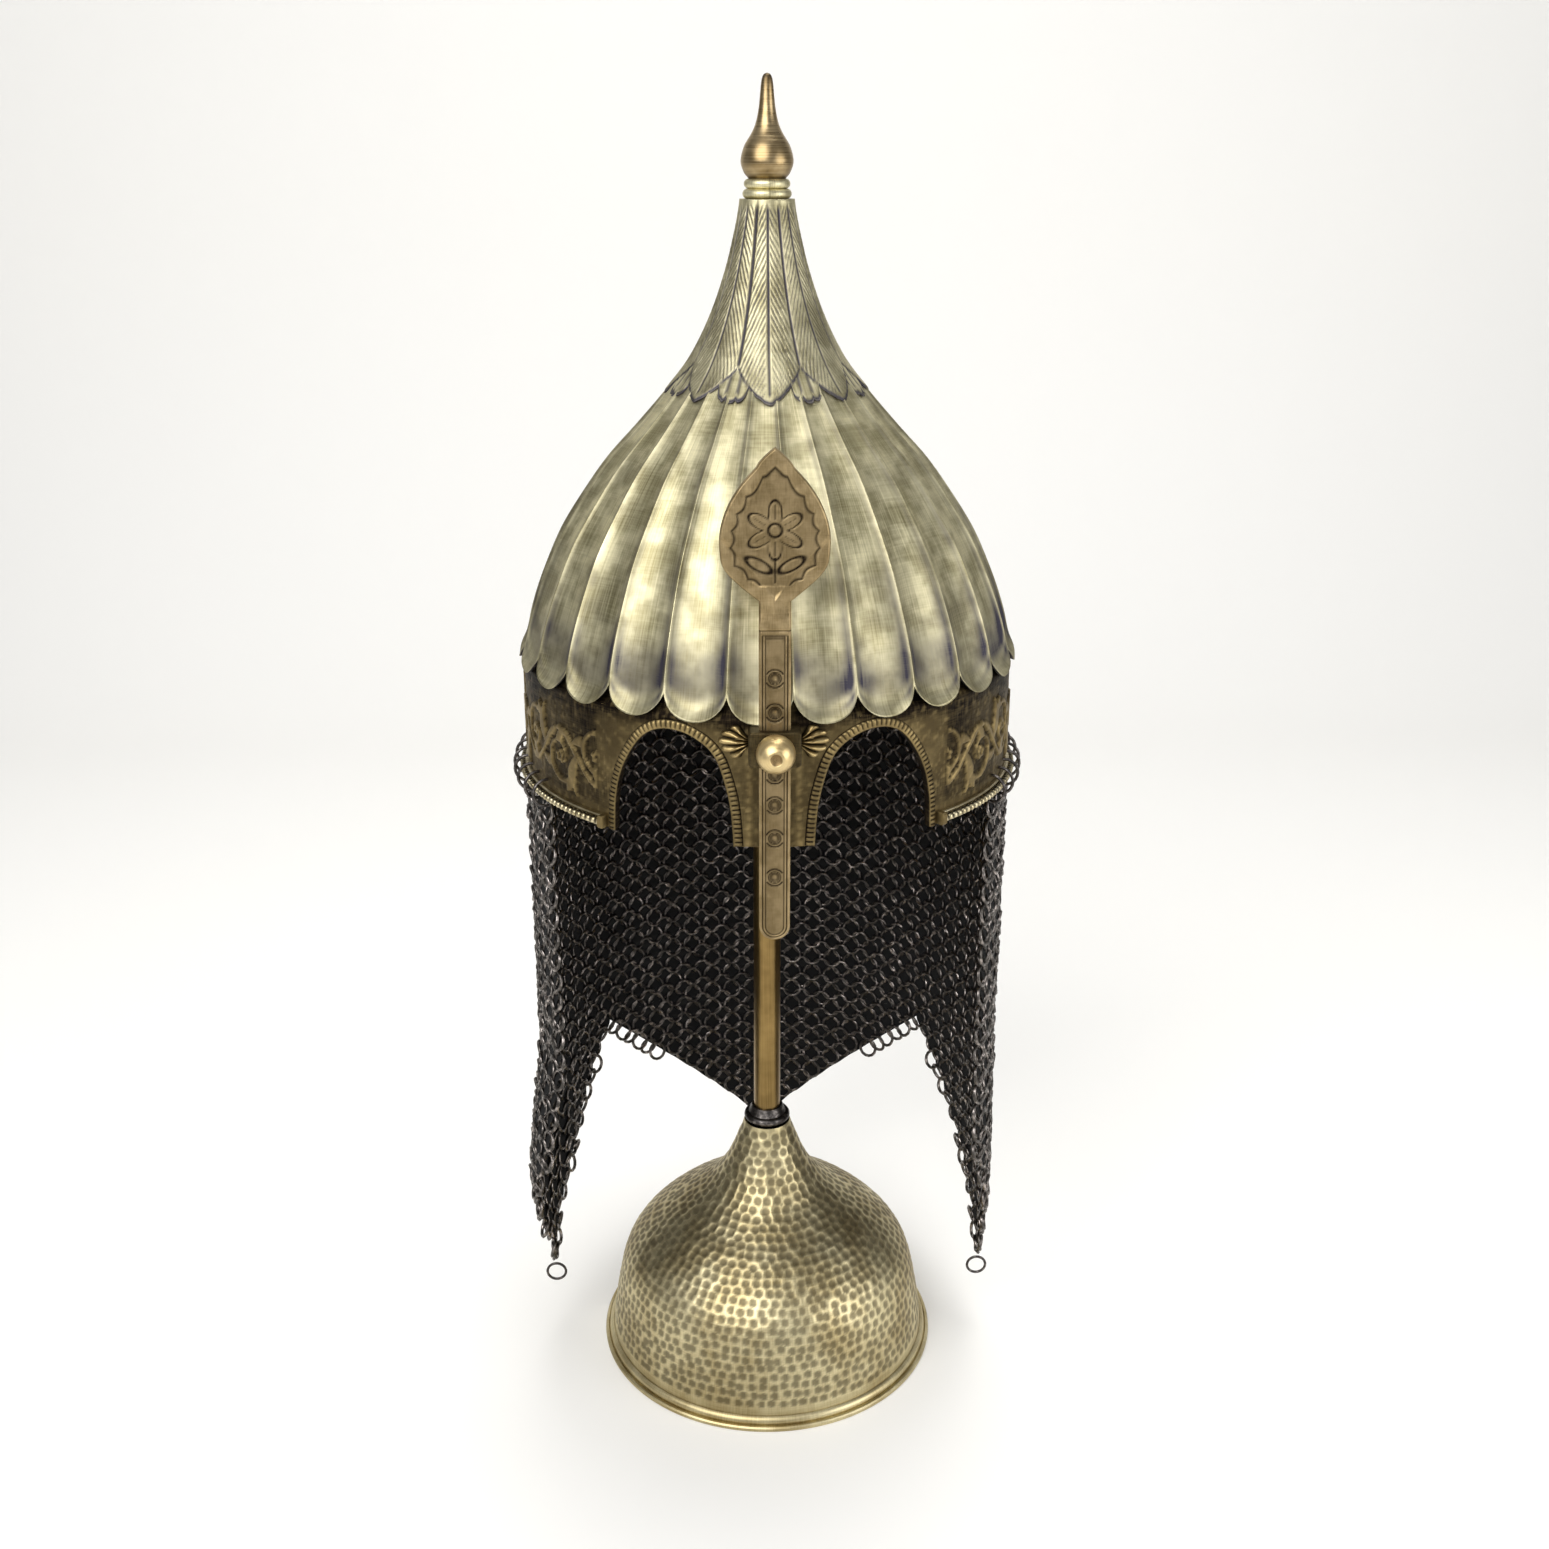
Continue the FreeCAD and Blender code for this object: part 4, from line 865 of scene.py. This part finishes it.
def make_band():
    """Raised scrolls over a dark granulated ground, with the eye openings left out."""
    tile = scroll_tile()
    up = np.concatenate([np.arange(0.15, 51.5, 0.74), [52.6, 54.0, 56.0, 59.0, 62.0]])[:, None]
    shelf = np.interp(up, [0, 51.0, 52.6, 54.0, 56.0, 59.0, 62.0], [0, 0, -0.4, -2.2, -3.5, -4.2, -4.8])
    for side, start in (("left", -math.pi), ("right", 0.0)):
        phi = np.linspace(start, start + math.pi, 460)[None, :]
        around = np.abs(phi) * BAND_R
        col = ((around + 7.0) / SCROLL_STEP).astype(int) % tile.shape[1]
        row = np.clip((up / SCROLL_STEP).astype(int), 0, tile.shape[0] - 1)
        panel = (ease(BEADING_TURN + 2.0, BEADING_TURN + 3.0, np.degrees(np.abs(phi))) * ease(8.0, 9.0, up)
                 * ease(49.5, 48.0, up))
        raised = tile[row, col] * panel
        tab = (np.abs(phi) * BAND_R < 14.0) & (up < 36)
        scale = np.abs(np.sin(up * 0.9)) * hump(np.abs(phi) * BAND_R - 9.6, 1.1) * (up < 34)
        grain = 0.22 * (soft_noise(around, up, 1.3, 31) - 0.5)
        radius = BAND_R + 0.25 + shelf + SCROLL_HIGH * raised + grain * (1 - raised) + 0.3 * scale
        height = BAND_LOW + up
        points = on_round(phi, radius, height)
        outline = hump(raised - 0.4, 0.35) * panel
        specks = soft_noise(around, up, 1.5, 6)
        # Dark ground, random tone and dark outlines round the scrolls, with the raised scrolls and the tab's ticks
        # rubbed pale; the last term is painted shade, darker towards the band's top under the overhanging flute ends.
        dark = (0.7 - 0.42 * raised * panel + 0.42 * outline - 0.3 * scale - 0.25 * ease(0.6, 0.95, specks)
                + 0.3 * (soft_noise(around, up, 14.0, 5) - 0.5) + 0.3 * ease(44.0, 52.0, up))
        faces = grid_faces(len(up), phi.shape[1], False)
        gone = in_eye(phi, up, 1.2).ravel() | (tab & (np.abs(phi) * BAND_R > 14.0)).ravel()
        faces = faces[~gone[faces].any(1)]
        marks = {"tarnish_and_shade": np.clip(dark, 0, 1), "wrap": on_round(phi, BAND_R, height)}
        made = piece("band_relief_" + side, points, faces, cast_brass, "helmet", marks)


def make_eye_borders():
    """A ribbed cord of metal round each eye opening, cut into short ticks."""
    line = eye_line(0.0)
    run = run_along(line)
    fine = np.arange(0, run[-1], 0.32)
    across = np.array([-0.3, -0.3, 0.15, 0.9, 1.8, 2.6, 3.1, 3.4, 3.4])
    out = np.array([-BAND_T - 0.1, 0.9, 1.25, 1.4, 1.42, 1.35, 1.05, 0.5, -0.6])
    centre = np.stack([np.interp(fine, run, line[:, 0]), np.interp(fine, run, line[:, 1])], -1)
    course = np.gradient(centre, axis=0)
    course /= np.linalg.norm(course, axis=1)[:, None]
    keep = centre[:, 1] > -0.1
    centre, course, fine = centre[keep], course[keep], fine[keep]
    tick = hump((fine / TICK_PITCH - np.round(fine / TICK_PITCH)) * TICK_PITCH, 0.32)[:, None]
    cut = tick * ((across > 0.5) & (across < 3.2))[None, :]
    x = centre[:, :1] - across[None, :] * course[:, 1:]
    z = np.maximum(centre[:, 1:] + across[None, :] * course[:, :1], 0.0)
    radius = BAND_R + out[None, :] - 0.6 * cut
    edge = ((across < 0) | (across > 3.3))[None, :] * 0.75
    for side in (-1, 1):
        phi = side * (math.radians(EYE_TURN) + np.arcsin(x / radius))
        points = on_round(phi, radius, BAND_LOW + z)
        crown = ease(0.55 * EYE_TOP, EYE_TOP, z)
        marks = {"tarnish_and_shade": np.clip(0.5 - 0.34 * crown + 0.8 * cut + edge, 0, 1),
                 "wrap": on_round(phi, BAND_R, BAND_LOW + z)}
        name = "left" if side < 0 else "right"
        faces = grid_faces(len(fine), len(across), False)
        piece("eye_border_ribs_" + name, points, faces if side < 0 else faces[:, ::-1], cast_brass, "helmet", marks,
              ["eye_border_" + name])


def ball_points(centre, radius, rings=7, segments=10):
    """A small ball as rows of points, and its faces."""
    polar = np.linspace(0, math.pi, rings + 1)[:, None]
    turn = np.linspace(0, 2 * math.pi, segments, endpoint=False)[None, :]
    ball = np.stack([np.sin(polar) * np.cos(turn), np.sin(polar) * np.sin(turn), np.cos(polar) + 0 * turn], -1)
    return centre + radius * ball.reshape(-1, 3), grid_faces(rings + 1, segments)


def make_beading():
    """A row of beads between two wires, ended by squared caps."""
    first, last = math.radians(BEADING_TURN), 2 * math.pi - math.radians(BEADING_TURN)
    low, high = BEAD_LOW[2], BEAD_HIGH[2]
    middle = (low + high) / 2
    reach = extent("rim_beading")[1][0]
    section = [(BAND_R - 0.5, low + 0.2), (BAND_R + 1.2, low)]
    for wire_z in (low + 0.55, high - 0.55):
        section += arc(BAND_R + 1.5, wire_z, 0.55, np.linspace(-100, 100, 9))
    section += [(BAND_R + 1.2, high), (BAND_R - 0.5, high - 0.2)]
    section = np.array(section)
    phi = np.linspace(first, last, 420)[:, None]
    points = on_round(phi, section[:, 0][None, :], section[:, 1][None, :])
    groove = (np.abs(section[:, 1] - middle) < 1.2)[None, :] * 0.9 + 0 * phi
    marks = {"tarnish_and_shade": np.clip(groove + 0.15, 0, 1), "wrap": on_round(phi, BAND_R, section[:, 1][None, :])}
    faces = grid_faces(len(phi), len(section), False)
    piece("beading_wires", points, faces, bead_brass, "helmet", marks, ["rim_beading"])
    count = int((last - first) * (reach - BEAD_R) / BEAD_PITCH)
    groups, faces, dark = [], [], []
    for turn in np.linspace(first + 0.022, last - 0.022, count):
        ball, quads = ball_points(on_round(turn, reach - BEAD_R, middle), BEAD_R)
        faces.append(quads + len(groups) * len(ball))
        groups.append(ball)
        beside = (ball[:, 0] * math.cos(turn) + ball[:, 1] * math.sin(turn)) / BEAD_R
        over = np.abs(ball[:, 2] - middle) / BEAD_R
        dark.append(np.maximum(ease(0.5, 0.85, np.abs(beside)), ease(0.6, 0.95, over)))
    made = np.concatenate(groups)
    marks = {"tarnish_and_shade": np.concatenate(dark), "wrap": made}
    piece("beading_beads", made, np.concatenate(faces), bead_brass, "helmet", marks, ["rim_beading"])
    for name, turn in (("right", first), ("left", last)):
        away = 0.013 * (1 if turn < math.pi else -1)
        corners = [(BAND_R - 0.3, low - 0.1), (reach - 0.7, low - 0.1), (reach, low + 0.7), (reach, high - 0.7),
                   (reach - 0.7, high + 0.2), (BAND_R - 0.3, high + 0.2)]
        rows = [on_round(turn + away * s, r, z) for s in (0, 0.12, 1.6, 1.72) for r, z in corners]
        rows = np.array(rows).reshape(4, len(corners), 3)
        middle_point = rows.mean(1, keepdims=True)
        rows[[0, 3]] = middle_point[[0, 3]] + (rows[[0, 3]] - middle_point[[0, 3]]) * 0.86
        ends = middle_point.repeat(len(corners), 1)
        rows = np.concatenate([ends[:1], rows, ends[3:]])
        marks = {"tarnish_and_shade": np.full(rows.shape[:2], 0.45), "wrap": rows}
        faces = grid_faces(6, len(corners))
        piece("beading_cap_" + name, rows, faces, cast_brass, "helmet", marks, ["rim_beading"], 30)


# Nasal

def leaf_half(share):
    line = np.array(LEAF_LINE)
    return curve_through(line[:, 1], line[:, 0], share) * LEAF_HALF


def nasal_half(z):
    """Half the width of bar and leaf at each height."""
    bar = np.full(z.shape, BAR_HALF)
    foot = z < BAR_LOW + BAR_HALF
    bar[foot] = np.sqrt(np.clip(BAR_HALF ** 2 - (BAR_LOW + BAR_HALF - z[foot]) ** 2, 0, None))
    share = (z - LEAF_FOOT_Z) / (LEAF_TIP - LEAF_FOOT_Z)
    leaf = np.where(share > 0, leaf_half(np.clip(share, 0, 1)), 0.0)
    tip = share > 0.873
    leaf[tip] = LEAF_HALF * 0.335 * (1 - ((share[tip] - 0.873) / 0.127) ** 1.35)
    return np.maximum(np.where(z < LEAF_FOOT_Z + 2.0, bar, 0.0), np.clip(leaf, 0.02, None))


def cartouche(x, z):
    """Cuts in the leaf: a scalloped frame round a generic six-petalled flower on a stem."""
    rows = np.linspace(LEAF_FOOT_Z, LEAF_TIP, 160)
    right = np.stack([nasal_half(rows), rows], -1)
    line = np.concatenate([right, right[::-1] * np.array([-1, 1])])
    inward = distance(x, z, line)
    middle_z = LEAF_FOOT_Z + 0.41 * (LEAF_TIP - LEAF_FOOT_Z)
    turn = np.arctan2(x, z - middle_z)
    bays = 3.9 + 1.5 * np.abs(np.cos(turn * 8)) ** 0.8
    inside = z > LEAF_FOOT_Z + 5.5
    frame_cut = hump(inward - bays, 0.55) * inside
    aside, up = x / MOTIF_SIZE, (z - middle_z) / MOTIF_SIZE
    radius = np.hypot(aside, up - 2.5)
    round_about = np.arctan2(aside, up - 2.5)
    petals = 3.4 + 5.0 * np.abs(np.cos(round_about * 3)) ** 1.3
    flower = np.maximum(hump(radius - petals, 0.5), hump(radius - 1.9, 0.42))
    vein = hump(np.sin(round_about * 6 + math.pi) * radius * 0.16, 0.12) * (radius > 3) * (radius < petals - 1.2)
    stem = hump(aside, 0.34) * ((up < -5.2) & (up > -12.5))
    spray = np.abs(np.hypot((np.abs(aside) - 4.6) / 3.6, (up + 9.4 - 0.45 * np.abs(aside)) / 1.7) - 1)
    leaves = hump(spray * 2.0, 0.45)
    field = ease(0.0, 0.8, inward - bays) * inside
    cuts = [frame_cut, flower * field, 0.6 * vein * field, stem * field, leaves * field]
    return np.maximum.reduce(cuts), field, inward


def make_nasal():
    """The bar with its framed dimples, a faceted neck and the engraved leaf."""
    low_rows = BAR_LOW + BAR_HALF * (1 - np.cos(np.linspace(0, math.pi / 2, 22)))
    bar_rows = np.arange(BAR_LOW + BAR_HALF + 0.42, LEAF_TIP - 1.0, 0.5)
    z = np.concatenate([low_rows, bar_rows, LEAF_TIP - np.array([0.8, 0.5, 0.25, 0.02])])[:, None]
    half = nasal_half(z[:, 0])[:, None]
    u = np.sin(np.linspace(-1, 1, 75) * math.pi / 2)[None, :]
    u = 0.35 * u + 0.65 * np.linspace(-1, 1, 75)[None, :]
    x = u * half
    z = np.broadcast_to(z, x.shape)
    aside = half - np.abs(x)
    foot_edge = BAR_HALF - np.hypot(x, z - BAR_LOW - BAR_HALF)
    edge = np.where(z < BAR_LOW + BAR_HALF, foot_edge, aside)
    cut = np.zeros(x.shape)
    frame_top = LEAF_FOOT_Z - 12.8
    in_bar = z < frame_top
    for inset, strong in ((1.3, 1.0), (2.35, 0.75)):
        line = hump(edge - inset, 0.3) * in_bar
        shelf = hump(z - frame_top + inset - 1.3, 0.3) * (edge > inset)
        cut = np.maximum(cut, np.maximum(line, shelf) * strong)
    cut = np.maximum(cut, hump(z - frame_top - 1.6, 0.28) * (z < LEAF_FOOT_Z))
    bowl = np.zeros(x.shape)
    for down in DIMPLES:
        apart = np.hypot(x, z - (LEAF_FOOT_Z - down))
        bowl = np.maximum(bowl, np.clip(1 - (apart / 2.25) ** 2, 0, 1))
        arc = hump(apart - 3.5, 0.32) * (np.abs(z - (LEAF_FOOT_Z - down)) > 1.6)
        cut = np.maximum(cut, arc * 0.9 * (edge > 2.0))
        cut = np.maximum(cut, hump(apart - 2.35, 0.3) * 0.7)
    engraved, field, inward = cartouche(x, z)
    above = z > LEAF_FOOT_Z + 1.0
    leafy = ease(-0.5, 1.5, z - LEAF_FOOT_Z - 1.15 * np.abs(x) - 0.5)
    cut = np.where(above, engraved, cut)
    neck = ease(frame_top + 3.0, LEAF_FOOT_Z - 1.0, z) * (1 - leafy)
    facet = neck * np.clip(np.abs(x) / BAR_HALF, 0, 1.4) * 1.3
    front = BAR_FRONT - 0.85 * leafy - facet
    hammer = 0.16 * (soft_noise(x + 40, z, 3.2, 61) - 0.5) + 0.05 * (soft_noise(x + 40, z, 0.9, 62) - 0.5)
    sunk = 0.28 * field * above
    rounding = 0.75 * (1 - ease(0.0, 0.95, edge)) ** 1.5
    stipple = 0.05 * soft_noise(x + 40, z, 0.7, 63) * (edge > 2.4) * in_bar
    face = front - 0.42 * cut - 0.95 * bowl - sunk - rounding + hammer - stipple
    tarnish_and_shade = np.clip(0.9 * cut + 0.2 * field * above + 0.75 * ease(0.0, 0.35, bowl) * ease(1.1, 0.7, bowl)
                      + 0.3 * (edge > 2.4) * in_bar * (bowl < 0.05), 0, 1)
    back = np.full((len(z), 1), BAR_BACK)
    rear = np.concatenate([half, half, -half, -half], 1)
    rear_y = np.concatenate([face[:, -1:] - 0.5, back + 0.3, back + 0.3, face[:, :1] - 0.5], 1)
    points = np.stack([np.concatenate([x, rear], 1), -np.concatenate([face, rear_y], 1),
                       np.concatenate([z, z[:, :4]], 1)], -1)
    dark = np.concatenate([tarnish_and_shade, np.full((len(z), 4), 0.35)], 1)
    marks = {"tarnish_and_shade": dark, "wrap": points}
    piece("nasal_blade", points, grid_faces(len(z), points.shape[1]), forged_brass, "nasal", marks, ["nasal_bar"], 50)


def rounded_block(name, half_x, y_back, y_front, low, high, bevel, material, body, replaces):
    """A box with eased front edges, made of rings of points from bottom to top."""
    outline = [(half_x - bevel + bevel * math.cos(t), -(y_front - bevel) + bevel * math.sin(t))
               for t in np.radians(np.linspace(0, -90, 7))]
    outline += [(-(half_x - bevel) + bevel * math.cos(t), -(y_front - bevel) + bevel * math.sin(t))
                for t in np.radians(np.linspace(-90, -180, 7))]
    outline += [(-half_x, -y_back), (half_x, -y_back)]
    outline = np.array(outline)
    middle = outline.mean(0)
    rows = [(low + bevel * (1 - math.cos(t)), bevel * (1 - math.sin(t))) for t in np.radians(np.linspace(0, 90, 6))]
    rows += [(high - bevel * (1 - math.cos(t)), bevel * (1 - math.sin(t))) for t in np.radians(np.linspace(90, 0, 6))]
    rings = [np.column_stack([np.tile(middle, (len(outline), 1)), np.full(len(outline), low)])]
    for z, inset in rows:
        shrink = 1 - inset / np.array([half_x, (y_front - y_back) / 2])
        rings.append(np.column_stack([middle + (outline - middle) * shrink, np.full(len(outline), z)]))
    rings.append(np.column_stack([np.tile(middle, (len(outline), 1)), np.full(len(outline), high)]))
    points = np.stack(rings)
    marks = {"tarnish_and_shade": np.full(points.shape[:2], 0.85), "wrap": points}
    return piece(name, points, grid_faces(len(rings), len(outline)), material, body, marks, replaces, 40)


def make_bracket():
    """The box that the bar slides in, and a palmette of lobes on each side of it."""
    low, high = extent("nasal_bracket")
    front = -low[1]
    box_half = 10.0
    rounded_block("bracket_box", box_half, BAND_R - 3.0, front, low[2], high[2], 1.1, bracket_brass, "helmet",
                  ["nasal_bracket"])
    middle = (low[2] + high[2]) / 2
    spread = np.linspace(-1, 1, 90)[:, None]
    out = np.linspace(0, 1, 36)[None, :]
    lobes = 5
    lobe = np.abs(np.sin(math.pi * (spread + 1) / 2 * lobes))
    fan = np.radians(62.0) * spread
    reach = WING_LONG * (0.8 + 0.2 * lobe ** 0.5) * (1 - 0.16 * spread ** 2)
    bow = 0.18 * np.sin(math.pi * out)
    x = box_half - 1.6 + reach * out * np.cos(fan * (0.55 + 0.45 * out))
    z = middle + (reach * out + 1.0) * np.sin(fan * (0.7 + bow)) * 0.88
    crest = lobe ** 0.7 * ease(0.0, 0.25, out) * (1 - 0.15 * out)
    knuckle = 0.45 * hump(out - 0.45, 0.1) * lobe
    high_off = 0.5 + 2.1 * crest * np.sqrt(np.clip(1 - out ** 6, 0, 1)) + knuckle
    dark = np.clip(1.15 - 1.15 * crest, 0, 1)
    for side in (-1, 1):
        phi = np.arcsin(x / BAND_R) * side
        points = on_round(phi, BAND_R + high_off, z)
        marks = {"tarnish_and_shade": dark, "wrap": points}
        faces = grid_faces(90, 36, False)
        piece("bracket_palmette_" + ("left" if side < 0 else "right"), points, faces if side < 0 else faces[:, ::-1],
              bracket_brass, "helmet", marks, ["nasal_bracket"])


def make_knob():
    """The turned ball with a small flat and a dimple in front."""
    middle = (KNOB_LOW + KNOB_HIGH) / 2
    radius = (KNOB_HIGH[0] - KNOB_LOW[0]) / 2
    back = -KNOB_HIGH[1]
    centre_y = back + radius * 0.985
    line = [(2.4, -radius * 0.94)] + arc(0.0, 0.0, radius, np.linspace(-68, 66, 40))
    flat = radius * math.sin(math.radians(66))
    line += [(2.7, flat + 0.02), (2.4, flat + 0.06), (2.15, flat - 0.12), (1.6, flat - 0.5),
             (0.9, flat - 0.75), (0.0, flat - 0.82)]

    def stand_forward(points):
        x, y, z = points[..., 0], points[..., 1], points[..., 2]
        return np.stack([x, -(centre_y + z), middle[2] + y], -1)

    patina = [0.75 if i >= len(line) - 4 else 0.0 for i in range(len(line))]
    lathe("knob_ball", line, polished_brass, "clamp_knob", ["clamp_knob"], 72, stand_forward, 30, patina)


def make_pad():
    """The felt cap glued over the head block: thick, soft edged, with a slight nap."""
    low, high = extent("head_pad")
    inside = skull_radius(low[2] - LIP_Z) - high[0]
    z = np.linspace(low[2], high[2], 30)
    radius = skull_radius(z - LIP_Z) - inside
    top_round = 2.0
    radius = radius - top_round * (1 - np.sqrt(1 - ((z - high[2] + top_round) / top_round).clip(0, 1) ** 2))
    line = [(radius[0] - PAD_T, low[2])] + list(zip(radius, z))
    line += [(radius[-1] * share, high[2]) for share in np.linspace(1, 0, 12)[1:-1]] + [(0.02, high[2])]

    def nap(points):
        x, y, height = points[..., 0], points[..., 1], points[..., 2]
        rough = 0.3 * (soft_noise(np.arctan2(x, y) * 24, height + np.hypot(x, y), 0.8, 77) - 0.5)
        level = points * np.array([1, 1, 0]) * (1 + rough / 40)[..., None]
        return level + np.array([0, 0, 1]) * (height + rough)[..., None]

    made = lathe("pad_felt", line, wool_felt, "pad", ["head_pad"], 160, nap)


def make_carried_nodes():
    """Finishes of the nodes that show as they are."""
    for name, material in (("brow_band", cast_brass), ("bracket_rivets", cast_brass), ("clamp_stud", dark_steel),
                           ("finial_washer", dark_steel), ("finial_nut", dark_steel), ("base_washer", dark_steel),
                           ("base_nut", dark_steel), ("head_washer", dark_steel), ("head_nut", dark_steel),
                           ("tie_rod", dark_steel), ("head_block", turned_beech)):
        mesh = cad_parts[name].data
        mesh.materials.clear()
        mesh.materials.append(material)


make_flutes()
make_skull_inside()
make_feathers()
make_crown()
make_stand()
make_mail()
make_shade_sheet()
make_band()
make_eye_borders()
make_beading()
make_nasal()
make_bracket()
make_knob()
make_pad()
make_carried_nodes()


# Stage, light and camera

def make_stage():
    """A pale floor that curves up into a pale backdrop."""
    bend_y, bend_r, half_width = 900.0, 500.0, 2600.0
    line = [(-2600.0, 0.0), (bend_y, 0.0)]
    for turn in np.linspace(0, 90, 24)[1:]:
        line.append((bend_y + bend_r * math.sin(math.radians(turn)), bend_r * (1 - math.cos(math.radians(turn)))))
    line.append((bend_y + bend_r, 2200.0))
    points = [(x, y, z) for y, z in line for x in (-half_width, half_width)]
    material, tree, shader = blank("matt_paper_backdrop")
    seen = add(tree, "LightPath").outputs["Is Camera Ray"]
    lift = add(tree, "Math", {0: seen, 1: 0.16}, operation="MULTIPLY").outputs[0]
    feed(tree, shader, {"Base Color": linear("#EDEBE6"), "Roughness": 0.9, "Specular IOR Level": 0.2,
                        "Emission Color": linear("#FFFFFF"), "Emission Strength": lift})
    floor = piece("backdrop", points, grid_faces(len(line), 2, False), material, None)


def make_lamp(name, place, aim, size, watts):
    lamp = bpy.data.lights.new(name, "AREA")
    lamp.shape = "DISK"
    lamp.size = size * MM
    lamp.energy = watts
    made = bpy.data.objects.new(name, lamp)
    made.location = Vector(place) * MM
    made.rotation_euler = (Vector(aim) - Vector(place)).to_track_quat("-Z", "Y").to_euler()
    bpy.context.scene.collection.objects.link(made)


def make_camera():
    """The photograph's viewing angle: from a little above, level with the feathers, looking down."""
    away, high, turn, pitch = 714.5, 558.4, math.radians(1.5), math.radians(20.1)
    sensor, focal_px, photo_px = 36.0, 1685.2, 1549
    data = bpy.data.cameras.new("camera")
    data.sensor_width = sensor
    data.lens = sensor * focal_px / photo_px
    data.shift_x = 0.0048
    camera = bpy.data.objects.new("camera", data)
    camera.location = Vector((-away * math.sin(turn), -away * math.cos(turn), high)) * MM
    look = Vector((math.sin(turn) * math.cos(pitch), math.cos(turn) * math.cos(pitch), -math.sin(pitch)))
    camera.rotation_euler = look.to_track_quat("-Z", "Y").to_euler()
    bpy.context.scene.collection.objects.link(camera)
    bpy.context.scene.camera = camera


def make_light():
    world = bpy.data.worlds.new("studio")
    world.use_nodes = True
    world.node_tree.nodes["Background"].inputs["Color"].default_value = linear("#C9CCD2")
    world.node_tree.nodes["Background"].inputs["Strength"].default_value = 0.4
    bpy.context.scene.world = world
    middle = (0, 0, 330)
    make_lamp("key_lamp", (-600, -1100, 1200), middle, 1400, 22)
    make_lamp("fill_lamp", (1300, -800, 600), middle, 1100, 10)
    make_lamp("top_lamp", (100, 300, 1700), middle, 900, 13)


make_stage()
make_light()
make_camera()
bpy.context.scene.view_settings.view_transform = "Standard"
